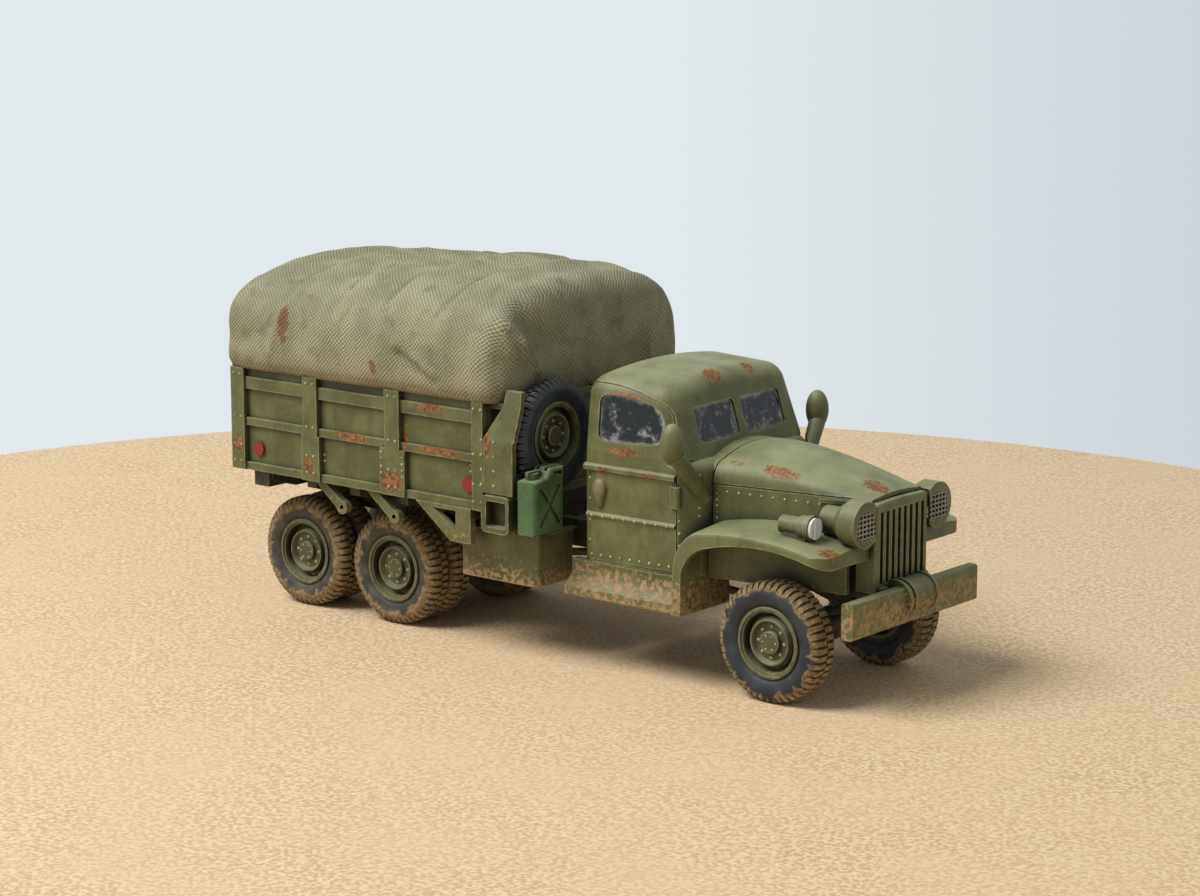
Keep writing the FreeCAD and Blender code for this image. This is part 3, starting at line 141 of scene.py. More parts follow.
direct = add(tree, "ShaderNodeMath", {0: camera_ray, 1: glossy_ray}, operation="ADD", use_clamp=True)
any_ray = add(tree, "ShaderNodeMath", {0: direct, 1: through_ray}, operation="ADD", use_clamp=True)
surface = add(tree, "ShaderNodeMixShader", {0: any_ray, 1: lit, 2: seen})
add(tree, "ShaderNodeOutputWorld", {"Surface": surface})


def area_lamp(name, place, size, watts):
    data = bpy.data.lights.new(name, "AREA")
    data.shape = "DISK"
    data.size = size
    data.energy = watts
    lamp = bpy.data.objects.new(name, data)
    bpy.context.scene.collection.objects.link(lamp)
    lamp.location = place
    lamp.rotation_euler = (Vector((0, 0, 0.02)) - Vector(place)).to_track_quat("-Z", "Y").to_euler()


area_lamp("broad_lamp", (-0.30, -0.45, 0.75), 0.55, 8.0)
area_lamp("front_lamp", (0.75, -0.15, 0.40), 0.50, 0.4)

camera_data = bpy.data.cameras.new("camera")
camera_data.lens = 92.84
camera_data.sensor_width = 36.0
camera_data.clip_start = 0.01
camera = bpy.data.objects.new("camera", camera_data)
bpy.context.scene.collection.objects.link(camera)
camera.location = (0.26518, -0.32621, 0.10941)
turn, tilt = math.radians(39.174), math.radians(11.145)
sight = Vector((-math.sin(turn) * math.cos(tilt), math.cos(turn) * math.cos(tilt), -math.sin(tilt)))
camera.rotation_euler = sight.to_track_quat("-Z", "Y").to_euler()
bpy.context.scene.camera = camera
bpy.context.scene.view_settings.view_transform = "Standard"


# ---- body, cab and chassis paint ---------------------------------------------------------------
# Cast resin, sprayed matt olive drab, washed with thin dark brown that stays in the corners and darkened
# with painted shade under and between parts, dry-brushed paler on the edges, then dabbed with rust and
# splashed with dried mud low down.
def near_patches(tree, place, patches):
    """1 in the middle of a patch, 0 a little past its edge; it is a centre and half-sizes in mm."""
    nearest = None
    for x, y, z, long, deep, high in patches:
        away = add(tree, "ShaderNodeVectorMath", {0: place, 1: (x * MM, y * MM, z * MM)},
                   operation="SUBTRACT")
        scaled = add(tree, "ShaderNodeVectorMath", {0: away, 1: (long * MM, deep * MM, high * MM)},
                     operation="DIVIDE")
        reach = add(tree, "ShaderNodeVectorMath", {0: scaled}, 1, operation="LENGTH")
        if nearest is None:
            nearest = reach
        else:
            nearest = add(tree, "ShaderNodeMath", {0: nearest, 1: reach}, operation="MINIMUM")
    return add(tree, "ShaderNodeMapRange", {0: nearest, 1: 1.25, 2: 0.1})


def worn_edge(tree, radius):
    """1 on outer edges, rounded over the given radius in metres; 0 on flats and in corners."""
    softened = add(tree, "ShaderNodeBevel", {"Radius": radius}, samples=4)
    flat = add(tree, "ShaderNodeNewGeometry", out="Normal")
    along = add(tree, "ShaderNodeVectorMath", {0: softened, 1: flat}, 1, operation="DOT_PRODUCT")
    bent = add(tree, "ShaderNodeMapRange", {0: along, 1: 0.985, 2: 0.90}, interpolation_type="SMOOTHSTEP")
    sky = add(tree, "ShaderNodeAmbientOcclusion", {"Distance": 0.0022}, "AO", samples=6)
    proud = add(tree, "ShaderNodeMapRange", {0: sky, 1: 0.45, 2: 0.75}, interpolation_type="SMOOTHSTEP")
    return add(tree, "ShaderNodeMath", {0: bent, 1: proud}, operation="MULTIPLY")


def rust_coat(tree, place, edge, patches, on_edges):
    """Ragged dabs where the patches are, and flecks along the edges."""
    flecks = add(tree, "ShaderNodeTexNoise", {"Vector": place, "Scale": 0.55 / MM, "Detail": 4.0})
    sparse = add(tree, "ShaderNodeMapRange", {0: flecks, 1: 0.57, 2: 0.63, 4: on_edges})
    mask = add(tree, "ShaderNodeMath", {0: edge, 1: sparse}, operation="MULTIPLY")
    if not patches:
        return mask
    ragged = add(tree, "ShaderNodeTexNoise", {"Vector": place, "Scale": 1.5 / MM, "Detail": 8.0,
                                              "Roughness": 0.72})
    near = add(tree, "ShaderNodeMath", {0: near_patches(tree, place, patches), 1: 0.5}, operation="MULTIPLY")
    both = add(tree, "ShaderNodeMath", {0: ragged, 1: 0.62, 2: near}, operation="MULTIPLY_ADD")
    dabs = add(tree, "ShaderNodeMapRange", {0: both, 1: 0.53, 2: 0.60}, interpolation_type="SMOOTHSTEP")
    return add(tree, "ShaderNodeMath", {0: mask, 1: dabs}, operation="MAXIMUM")


def mud_coat(tree, place, top, depth, amount):
    """Dried splashes: none above top, thick below top - depth, broken into clots between."""
    height = add(tree, "ShaderNodeSeparateXYZ", {0: place}, 2)
    low = add(tree, "ShaderNodeMapRange", {0: height, 1: top * MM, 2: (top - depth) * MM, 4: amount})
    clots = add(tree, "ShaderNodeTexNoise", {"Vector": place, "Scale": 1.3 / MM, "Detail": 8.0,
                                             "Roughness": 0.70})
    both = add(tree, "ShaderNodeMath", {0: low, 1: clots}, operation="ADD")
    return add(tree, "ShaderNodeMapRange", {0: both, 1: 0.72, 2: 0.80}, interpolation_type="SMOOTHSTEP")


def field_paint(name, base, pale, mud, rust=(), bright=(), edge_rust=0.5, edge_tone="#b0af88"):
    """Matt paint over resin; mud is (top, depth, amount), rust and bright are lists of patches."""
    def coats(tree):
        place = add(tree, "ShaderNodeTexCoord", out="Object")
        blotch = add(tree, "ShaderNodeTexNoise", {"Vector": place, "Scale": 0.22 / MM, "Detail": 4.0})
        patchy = add(tree, "ShaderNodeMapRange", {0: blotch, 1: 0.36, 2: 0.64},
                     interpolation_type="SMOOTHSTEP")
        paint = add(tree, "ShaderNodeMix", {0: patchy, 6: colour(base), 7: colour(pale)}, 2, data_type="RGBA")
        stretched = add(tree, "ShaderNodeVectorMath", {0: place, 1: (1.1, 1.1, 0.3)}, operation="MULTIPLY")
        drips = add(tree, "ShaderNodeTexNoise", {"Vector": stretched, "Scale": 1.0 / MM, "Detail": 5.0})
        stain = add(tree, "ShaderNodeMapRange", {0: drips, 1: 0.50, 2: 0.72, 4: 0.38})
        paint = add(tree, "ShaderNodeMix", {0: stain, 6: paint, 7: colour("#45462b")}, 2, data_type="RGBA")
        scuff = add(tree, "ShaderNodeTexNoise", {"Vector": place, "Scale": 1.7 / MM, "Detail": 6.0})
        chalk = add(tree, "ShaderNodeMapRange", {0: scuff, 1: 0.50, 2: 0.74, 4: 0.18})
        paint = add(tree, "ShaderNodeMix", {0: chalk, 6: paint, 7: colour("#8c8c62")}, 2, data_type="RGBA")
        edge = worn_edge(tree, 0.00028)
        rub = add(tree, "ShaderNodeTexNoise", {"Vector": place, "Scale": 0.9 / MM})
        rubbed = add(tree, "ShaderNodeMapRange", {0: rub, 1: 0.30, 2: 0.60, 4: 0.9})
        bare = add(tree, "ShaderNodeMath", {0: edge, 1: rubbed}, operation="MULTIPLY")
        paint = add(tree, "ShaderNodeMix", {0: bare, 6: paint, 7: colour(edge_tone)}, 2, data_type="RGBA")
        # Partly a dark wash, partly painted shade: near-black wherever nearby surfaces hem this one in.
        sky = add(tree, "ShaderNodeAmbientOcclusion", {"Distance": 0.0028}, "AO", samples=6)
        wash_and_painted_shade = add(tree, "ShaderNodeMapRange", {0: sky, 1: 0.88, 2: 0.40, 4: 0.95},
                   interpolation_type="SMOOTHSTEP")
        paint = add(tree, "ShaderNodeMix", {0: wash_and_painted_shade, 6: paint, 7: colour("#26251a")}, 2, data_type="RGBA")
        facing = add(tree, "ShaderNodeNewGeometry", out="Normal")
        up = add(tree, "ShaderNodeSeparateXYZ", {0: facing}, 2)
        level = add(tree, "ShaderNodeMapRange", {0: up, 1: 0.35, 2: 0.95, 4: 0.85})
        film = add(tree, "ShaderNodeMapRange", {0: blotch, 1: 0.30, 2: 0.70, 3: 0.35})
        settled = add(tree, "ShaderNodeMath", {0: level, 1: film}, operation="MULTIPLY")
        paint = add(tree, "ShaderNodeMix", {0: settled, 6: paint, 7: colour("#999c73")}, 2, data_type="RGBA")
        if bright:
            bronze = add(tree, "ShaderNodeMapRange",
                         {0: near_patches(tree, place, bright), 1: 0.1, 2: 0.3, 4: 0.6})
            paint = add(tree, "ShaderNodeMix", {0: bronze, 6: paint, 7: colour("#8b7d61")}, 2,
                        data_type="RGBA")
        rusted = rust_coat(tree, place, edge, rust, edge_rust)
        bloom = add(tree, "ShaderNodeTexNoise", {"Vector": place, "Scale": 1.9 / MM, "Detail": 5.0})
        spread = add(tree, "ShaderNodeMapRange", {0: bloom, 1: 0.38, 2: 0.62})
        tone = add(tree, "ShaderNodeMix", {0: spread, 6: colour("#5a3a20"), 7: colour("#a06c38")}, 2,
                   data_type="RGBA")
        paint = add(tree, "ShaderNodeMix", {0: rusted, 6: paint, 7: tone}, 2, data_type="RGBA")
        splashed = mud_coat(tree, place, *mud)
        tint = add(tree, "ShaderNodeTexNoise", {"Vector": place, "Scale": 1.4 / MM, "Detail": 4.0})
        clay = add(tree, "ShaderNodeMix", {0: tint, 6: colour("#846c49"), 7: colour("#bfa274")}, 2,
                   data_type="RGBA")
        return add(tree, "ShaderNodeMix", {0: splashed, 6: paint, 7: clay}, 2, data_type="RGBA")

    def dullness(tree):
        splashed = mud_coat(tree, add(tree, "ShaderNodeTexCoord", out="Object"), *mud)
        return add(tree, "ShaderNodeMapRange", {0: splashed, 3: 0.55, 4: 0.93})

    def relief(tree):
        place = add(tree, "ShaderNodeTexCoord", out="Object")
        splashed = mud_coat(tree, place, *mud)
        tooth = add(tree, "ShaderNodeTexNoise", {"Vector": place, "Scale": 2.5 / MM, "Detail": 4.0})
        height = add(tree, "ShaderNodeMath", {0: tooth, 1: 0.22, 2: splashed}, operation="MULTIPLY_ADD")
        return add(tree, "ShaderNodeBump", {"Height": height, "Strength": 0.45, "Distance": 0.0002})

    return finish_named(name, coats, dullness, relief)


def paint_nodes(finish, *names):
    for name in names:
        shown = nodes[name].data
        shown.materials.clear()
        shown.materials.append(finish)


body_rust = ((-21.0, -20.6, 22.4, 2.9, 1.5, 2.3), (-37.0, -20.6, 22.6, 1.4, 1.5, 1.8),
             (-12.5, -20.4, 27.6, 6.5, 1.5, 0.9), (-29.0, -20.4, 27.6, 5.5, 1.5, 0.9),
             (-14.0, -20.4, 33.4, 3.8, 1.5, 1.0), (-19.0, -20.4, 29.0, 0.7, 1.5, 4.0),
             (-3.6, -20.6, 30.0, 0.9, 1.5, 3.6), (-51.0, -20.6, 24.0, 1.3, 1.5, 2.0),
             (-30.0, 20.6, 24.0, 3.5, 1.5, 1.6), (-46.0, 0.0, 24.0, 1.5, 6.0, 1.6))
body_paint = field_paint("sprayed_olive_body_paint", "#55552f", "#696a41", (22.0, 5.0, 0.19), body_rust)
paint_nodes(body_paint, "side_panel_left", "side_panel_right", "tailgate", "bed_front_wall", "body_brackets",
            "spare_guards")

box_paint = field_paint("rubbed_olive_step_paint", "#4c4c2b", "#61613d", (17.5, 7.5, 0.30),
                        edge_tone="#c2c0a2")
paint_nodes(box_paint, "step_boxes", "fuel_tanks")

cab_rust = ((15.0, -13.9, 37.4, 4.0, 1.8, 0.7), (15.4, -14.7, 30.1, 4.4, 1.3, 0.8),
            (21.3, -3.0, 39.6, 2.8, 2.4, 1.6), (21.0, 5.0, 39.8, 1.8, 1.5, 1.6),
            (12.0, -15.0, 27.5, 1.6, 1.2, 0.5), (19.5, -14.7, 27.5, 1.8, 1.2, 0.5),
            (15.0, 13.9, 37.4, 3.4, 1.8, 0.7), (16.0, 14.7, 30.1, 3.6, 1.2, 0.8))
handle = ((11.3, -15.2, 25.2, 1.0, 1.2, 1.7), (11.3, 15.2, 25.2, 1.0, 1.2, 1.7))
cab_paint = field_paint("sprayed_olive_cab_paint", "#595a33", "#6c6e44", (16.8, 3.5, 0.22), cab_rust, handle)
paint_nodes(cab_paint, "cab_shell", "door_left", "door_right", "mirrors")

nose_rust = ((36.0, -7.6, 29.2, 4.4, 1.9, 1.6), (29.6, -8.4, 30.0, 2.8, 1.0, 1.3),
             (47.0, -2.0, 27.8, 2.9, 2.2, 1.5), (36.5, -16.0, 24.0, 4.0, 1.2, 0.9),
             (47.4, -13.6, 20.6, 2.2, 2.2, 1.4), (40.0, 4.0, 30.2, 3.0, 2.0, 1.0))
nose_paint = field_paint("sprayed_olive_bonnet_paint", "#5a5c35", "#6d7046", (15.0, 3.0, 0.15), nose_rust)
paint_nodes(nose_paint, "bonnet", "grille", "headlamps", "marker_lamps")

fender_paint = field_paint("muddy_olive_fender_paint", "#5a5c35", "#6d7046", (18.0, 5.0, 0.28), nose_rust)
paint_nodes(fender_paint, "fender_left", "fender_right", "running_boards", "front_bumper")

chassis_paint = field_paint("dark_olive_chassis_paint", "#2b2b20", "#3a3a28", (14.0, 8.0, 0.23),
                            edge_rust=0.8, edge_tone="#77745a")
paint_nodes(chassis_paint, "chassis_frame", "front_axle", "middle_axle", "rear_axle", "leaf_springs",
            "tow_hook", "engine_block", "transmission", "radiator", "bed_floor")


# ---- cloth cover --------------------------------------------------------------------------------
# One moulded skin in the shape of stout canvas stretched over four hoops: it sags between them,
# creases beside them, and its hem is tucked behind the top rail. Painted khaki, woven all over.
cover_low, cover_high = [[c / MM for c in corner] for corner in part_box("canvas_cover")]
COVER_HALF = cover_high[1]
COVER_REAR = cover_low[0] - 0.6      # the cloth hangs a little past the rail behind
COVER_FRONT = cover_high[0]
HEM_Z = cover_low[2]
COVER_TOP = 51.2
CROWN_R = 60.0            # the flat arch over the hoops
SHOULDER_R = 9.0          # the turn down into the side
END_R = 4.0               # the front corner
REAR_R = 2.0              # the rear one, which is tighter
CELL = 0.45               # spacing of the mesh lines
LEAN = math.asin((COVER_HALF - SHOULDER_R) / (CROWN_R - SHOULDER_R))
SHOULDER_Z = COVER_TOP - CROWN_R + (CROWN_R - SHOULDER_R) * math.cos(LEAN)
HALF_ARC = CROWN_R * LEAN + SHOULDER_R * (math.pi / 2 - LEAN) + SHOULDER_Z - HEM_Z
HOOP_STEP = 9.5
HOOPS = [-41.0 + HOOP_STEP * k for k in range(4)]
FACE_ROWS = 36            # mesh rows on each end face
BEND_ROWS = 10            # and round each end corner


def cover_section(t, inset):
    """Point (y, z) and outward direction of the section; t runs from -1 to 1, hem to hem."""
    crown, shoulder = CROWN_R - inset, SHOULDER_R - inset
    first = crown * LEAN
    second = shoulder * (math.pi / 2 - LEAN)
    s = abs(t) * (first + second + SHOULDER_Z - HEM_Z)
    side = -1.0 if t < 0 else 1.0
    if s < first:
        a = s / crown
        z = COVER_TOP - CROWN_R + crown * math.cos(a)
        return side * crown * math.sin(a), z, side * math.sin(a), math.cos(a)
    if s < first + second:
        a = LEAN + (s - first) / shoulder
        y = COVER_HALF - SHOULDER_R + shoulder * math.sin(a)
        return side * y, SHOULDER_Z + shoulder * math.cos(a), side * math.sin(a), math.cos(a)
    return side * (COVER_HALF - inset), SHOULDER_Z - (s - first - second), side, 0.0


def ridge(p, a, b, width):
    """1 on the line from a to b, falling off across it; all are points in a flat face."""
    p, a, b = Vector(p), Vector(a), Vector(b)
    along = min(1.0, max(0.0, (p - a).dot(b - a) / (b - a).length_squared))
    away = (p - a - along * (b - a)).length
    return math.exp(-(away / width) ** 2)


def sag(x, y, z, t):
    """How far the cloth stands off its plain shape, in mm; inwards is negative."""
    broad = noise.noise(Vector((x / 8, y / 8, z / 8)))
    fine = noise.noise(Vector((x / 2.6, y / 2.6, z / 2.6)))
    wave = 0.42 * broad + 0.12 * fine
    roof = max(0.0, min(1.0, (0.72 - abs(t)) / 0.25))
    crease = 0.0
    for hoop in HOOPS:
        off = x - hoop - 0.05 * y - 0.5 * math.sin(0.3 * y + hoop)
        crease += 0.66 * math.exp(-(off / 0.6) ** 2) - 0.30 * math.exp(-((off - 1.5) / 1.1) ** 2)
    hump = 0.30 * math.sin(2 * math.pi * (x - HOOPS[0]) / HOOP_STEP)
    droop = 1.3 * max(0.0, min(1.0, (-22.0 - x) / 30.0))
    h = wave + roof * (hump - crease - droop)
    if y < -19.0:
        h -= 0.55 * ridge((x, z), (-19.2, 40.6), (-13.0, 37.1), 0.6)
        h += 0.35 * ridge((x, z), (-19.8, 41.8), (-13.4, 38.2), 0.8)
        h += 0.40 * ridge((x, z), (-41.5, 45.0), (-44.0, 38.0), 0.7)
        if -6.2 < x < -3.2:
            h += 0.16
    if y > 19.0:
        h -= 0.45 * ridge((x, z), (-33.0, 41.0), (-27.0, 37.4), 0.7)
    near_front = max(0.0, min(1.0, (x - COVER_FRONT + 3.6) / 1.8))
    if near_front > 0:
        pull = 0.75 * ridge((y, z), (-18.1, 46.8), (-15.6, 43.1), 0.7)
        pull += 0.75 * ridge((y, z), (-15.6, 43.1), (-12.2, 39.0), 0.8)
        pull += 0.50 * ridge((y, z), (-18.1, 45.2), (-16.7, 40.5), 0.6)
        pull -= 0.95 * ridge((y, z), (-15.0, 46.0), (-8.0, 42.0), 1.9)
        pull += 0.70 * ridge((y, z), (15.2, 43.2), (11.3, 39.7), 0.8)
        pull += 0.60 * ridge((y, z), (12.0, 38.2), (12.2, 38.0), 1.0)
        h += near_front * pull
    if x < COVER_REAR + 0.3:
        h += 0.50 * ridge((y, z), (-12.0, 47.0), (-6.0, 38.0), 0.7)
        h += 0.50 * ridge((y, z), (11.0, 46.0), (7.0, 38.0), 0.7)
    tuck = max(0.0, min(1.0, (HEM_Z + 1.4 - z) / 1.4))
    return h - 0.45 * tuck * tuck * (3 - 2 * tuck)


def cover_rows():
    """Each row of the mesh: x, inset of the section, its scale about the hem, and lean of the normal."""
    rows = [(COVER_REAR, REAR_R, k / FACE_ROWS, -1.0) for k in range(FACE_ROWS)]
    rows += [(COVER_REAR + REAR_R * (1 - math.cos(a)), REAR_R * (1 - math.sin(a)), 1.0, -math.cos(a))
             for a in [math.pi / 2 * k / BEND_ROWS for k in range(BEND_ROWS)]]
    span = COVER_FRONT - COVER_REAR - END_R - REAR_R
    count = round(span / CELL)
    rows += [(COVER_REAR + REAR_R + span * k / count, 0.0, 1.0, 0.0) for k in range(count)]
    front = [(COVER_FRONT - END_R * (1 - math.cos(a)), END_R * (1 - math.sin(a)), 1.0, math.cos(a))
             for a in [math.pi / 2 * k / BEND_ROWS for k in range(BEND_ROWS + 1)]]
    rows += front[::-1]
    rows += [(COVER_FRONT, END_R, 1 - k / FACE_ROWS, 1.0) for k in range(1, FACE_ROWS + 1)]
    return rows


def cover_mesh():
    """The whole cover as one grid from the middle of the rear hem, over the roof, to the front one."""
    columns = 2 * round(HALF_ARC / CELL)
    bm = bmesh.new()
    weave = bm.loops.layers.uv.new("weave")
    lines, threads, ends = [], [], []
    for x, inset, scale, lean in cover_rows():
        line, thread = [], []
        for c in range(columns + 1):
            t = 2 * c / columns - 1
            y, z, out_y, out_z = cover_section(t, inset)
            y, z = y * scale, HEM_Z + (z - HEM_Z) * scale
            flat = math.sqrt(max(0.0, 1 - lean * lean))
            off = sag(x, y, z, t)
            spot = Vector((x + off * lean, y + off * out_y * flat, z + off * out_z * flat))
            line.append(bm.verts.new(spot * MM))
            thread.append(((t * HALF_ARC, x), (y, z)))
        lines.append(line)
        threads.append(thread)
        ends.append(abs(lean) > 0.8)
    for r in range(len(lines) - 1):
        for c in range(columns):
            face = bm.faces.new((lines[r][c], lines[r + 1][c], lines[r + 1][c + 1], lines[r][c + 1]))
            corners = (threads[r][c], threads[r + 1][c], threads[r + 1][c + 1], threads[r][c + 1])
            on_end = ends[r] and ends[r + 1]
            for loop, uv in zip(face.loops, corners):
                loop[weave].uv = uv[on_end]
    bmesh.ops.remove_doubles(bm, verts=bm.verts, dist=0.00002)
    bm.normal_update()
    top = max(bm.faces, key=lambda face: face.calc_center_median().z)
    if top.normal.z < 0:
        bmesh.ops.reverse_faces(bm, faces=bm.faces)
    mesh = bpy.data.meshes.new("cloth")
    bm.to_mesh(mesh)
    bm.free()
    return mesh


def as_plain_mesh(carrier):
    """The object's mesh with its modifiers applied; the carrier is thrown away."""
    evaluated = carrier.evaluated_get(bpy.context.evaluated_depsgraph_get())
    result = bpy.data.meshes.new_from_object(evaluated)
    carrier.modifiers.clear()
    bpy.data.objects.remove(carrier)
    return result


THREAD = 0.64             # two threads of the moulded weave, coarser than cloth at this scale


def weave_height(tree):
    """Plain weave from the cloth's own millimetres: 1 on a thread, 0 in the gaps between."""
    cloth = add(tree, "ShaderNodeUVMap", uv_map="weave")
    wander = add(tree, "ShaderNodeTexNoise", {"Vector": cloth, "Scale": 0.4, "Detail": 2.0}, "Color")
    pulled = add(tree, "ShaderNodeVectorMath", {0: wander, 1: (0.7, 0.7, 0.0), 2: cloth},
                 operation="MULTIPLY_ADD")
    phase = add(tree, "ShaderNodeVectorMath", {0: pulled, 3: 2 * math.pi / THREAD}, operation="SCALE")
    across = add(tree, "ShaderNodeSeparateXYZ", {0: phase}, 0)
    along = add(tree, "ShaderNodeSeparateXYZ", {0: phase}, 1)
    warp = add(tree, "ShaderNodeMath", {0: across}, operation="SINE")
    weft = add(tree, "ShaderNodeMath", {0: along}, operation="SINE")
    crossing = add(tree, "ShaderNodeMath", {0: warp, 1: weft}, operation="MULTIPLY")
    return add(tree, "ShaderNodeMapRange", {0: crossing, 1: -0.8, 2: 0.8}, interpolation_type="SMOOTHSTEP")


def canvas_colours(tree):
    """Khaki threads over dark gaps, sun-bleached on the shoulders, brown at the hem, a little rust, and
    painted shade in the folds.
    """
    place = add(tree, "ShaderNodeTexCoord", out="Object")
    patch = add(tree, "ShaderNodeTexNoise", {"Vector": place, "Scale": 0.16 / MM, "Detail": 5.0})
    faded = add(tree, "ShaderNodeMapRange", {0: patch, 1: 0.38, 2: 0.62}, interpolation_type="SMOOTHSTEP")
    dark = add(tree, "ShaderNodeMix", {0: faded, 6: colour("#7a775c"), 7: colour("#878468")}, 2,
               data_type="RGBA")
    light = add(tree, "ShaderNodeMix", {0: faded, 6: colour("#a3a081"), 7: colour("#b9b695")}, 2,
                data_type="RGBA")
    cloth = add(tree, "ShaderNodeMix", {0: weave_height(tree), 6: dark, 7: light}, 2, data_type="RGBA")
    smoke = add(tree, "ShaderNodeTexNoise", {"Vector": place, "Scale": 0.42 / MM, "Detail": 6.0})
    smudge = add(tree, "ShaderNodeMapRange", {0: smoke, 1: 0.56, 2: 0.72, 4: 0.38})
    cloth = add(tree, "ShaderNodeMix", {0: smudge, 6: cloth, 7: colour("#565139")}, 2, data_type="RGBA")
    height = add(tree, "ShaderNodeSeparateXYZ", {0: place}, 2)
    low = add(tree, "ShaderNodeMapRange", {0: height, 1: (HEM_Z + 3.6) * MM, 2: (HEM_Z + 0.6) * MM, 4: 0.75})
    soaked = add(tree, "ShaderNodeMath", {0: low, 1: patch}, operation="MULTIPLY")
    edge = add(tree, "ShaderNodeMapRange", {0: soaked, 1: 0.10, 2: 0.34, 4: 0.45})
    cloth = add(tree, "ShaderNodeMix", {0: edge, 6: cloth, 7: colour("#7d6647")}, 2, data_type="RGBA")
    runs = ((-41.3, -20.8, 42.6, 1.5, 2.0, 4.8), (-4.1, -19.5, 49.0, 1.1, 1.6, 1.3),
            (-24.0, -20.8, 38.0, 1.0, 1.5, 1.6), (-30.0, 20.8, 40.0, 1.0, 1.5, 2.6))
    ragged = add(tree, "ShaderNodeTexNoise", {"Vector": place, "Scale": 1.0 / MM, "Detail": 7.0})
    near = add(tree, "ShaderNodeMath", {0: near_patches(tree, place, runs), 1: 0.5}, operation="MULTIPLY")
    both = add(tree, "ShaderNodeMath", {0: ragged, 1: 0.62, 2: near}, operation="MULTIPLY_ADD")
    rusted = add(tree, "ShaderNodeMapRange", {0: both, 1: 0.55, 2: 0.64, 4: 0.75})
    cloth = add(tree, "ShaderNodeMix", {0: rusted, 6: cloth, 7: colour("#7d4f2c")}, 2, data_type="RGBA")
    # Painted shade: darker in the folds and where nearby parts crowd the cloth.
    sky = add(tree, "ShaderNodeAmbientOcclusion", {"Distance": 0.0025}, "AO", samples=6)
    crease_painted_shade = add(tree, "ShaderNodeMapRange", {0: sky, 1: 0.85, 2: 0.40, 4: 0.7})
    return add(tree, "ShaderNodeMix", {0: crease_painted_shade, 6: cloth, 7: colour("#3a3726")}, 2, data_type="RGBA")


def canvas_relief(tree):
    return add(tree, "ShaderNodeBump", {"Height": weave_height(tree), "Strength": 0.6, "Distance": 0.0002})


canvas_finish = finish_named("moulded_khaki_canvas", canvas_colours, lambda tree: 0.9, canvas_relief)
carrier = bpy.data.objects.new("cloth", cover_mesh())
bpy.context.scene.collection.objects.link(carrier)
skin = carrier.modifiers.new("skin", "SOLIDIFY")
skin.thickness = 0.9 * MM
skin.offset = -1.0
cover = piece_of("canvas_cover_cloth", as_plain_mesh(carrier), canvas_finish)
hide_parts("canvas_cover")
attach(cover, "truck")


# ---- tyres ----------------------------------------------------------------------------------------
# Each is cast rubber: a smooth rounded sidewall and a ring of square bar lugs on either shoulder,
# half a pitch out of step. The sidewalls are dark; dried mud fills the lugs. The spare is clean.
WHEEL_R = 8.0
LUGS = 48                 # on each shoulder
TYRE_STEPS = 96           # faces round a sidewall
SIDEWALL = ((4.34, 0.65), (4.9, 0.62), (5.15, 0.36), (5.5, 0.22), (6.3, 0.0), (7.0, 0.12), (7.35, 0.45),
            (7.55, 1.0))
TREAD_R = 7.62
LUG_FACE = ((8.0, 1.2), (7.9, 0.75), (7.45, 0.30), (6.95, 0.08))
LUG_BACK = ((6.95, 0.5), (7.2, 0.85), (7.4, 1.3))
LUG_HALF = 0.32


def round_copies_tree():
    """Copies of a shape turned about the axle, evenly all round."""
    tree = bpy.data.node_groups.new("copies_round_an_axle", "GeometryNodeTree")
    tree.interface.new_socket("Shape", in_out="INPUT", socket_type="NodeSocketGeometry")
    tree.interface.new_socket("Copies", in_out="INPUT", socket_type="NodeSocketInt")
    tree.interface.new_socket("Finish", in_out="INPUT", socket_type="NodeSocketMaterial")
    tree.interface.new_socket("Shape", in_out="OUTPUT", socket_type="NodeSocketGeometry")
    given = tree.nodes.new("NodeGroupInput")
    places = add(tree, "GeometryNodeMeshLine", {"Count": given.outputs["Copies"], "Offset": (0, 0, 0)})
    number = add(tree, "GeometryNodeInputIndex")
    share = add(tree, "ShaderNodeMath", {0: number, 1: given.outputs["Copies"]}, operation="DIVIDE")
    angle = add(tree, "ShaderNodeMath", {0: share, 1: 2 * math.pi}, operation="MULTIPLY")
    turned = add(tree, "FunctionNodeAxisAngleToRotation", {"Axis": (0, 1, 0), "Angle": angle})
    copies = add(tree, "GeometryNodeInstanceOnPoints", {"Points": places, "Instance": given.outputs["Shape"],
                                                        "Rotation": turned})
    real = add(tree, "GeometryNodeRealizeInstances", {"Geometry": copies})
    faced = add(tree, "GeometryNodeSetMaterial", {"Geometry": real, "Material": given.outputs["Finish"]})
    add(tree, "NodeGroupOutput", {0: faced})
    return tree


def grown(tree, mesh, **values):
    """Runs a geometry tree on a mesh with the named inputs and returns the plain mesh."""
    carrier = bpy.data.objects.new("carrier", mesh)
    bpy.context.scene.collection.objects.link(carrier)
    modifier = carrier.modifiers.new("grow", "NODES")
    modifier.node_group = tree
    for socket in tree.interface.items_tree:
        if socket.in_out == "INPUT" and socket.name in values:
            modifier[socket.identifier] = values[socket.name]
    return as_plain_mesh(carrier)


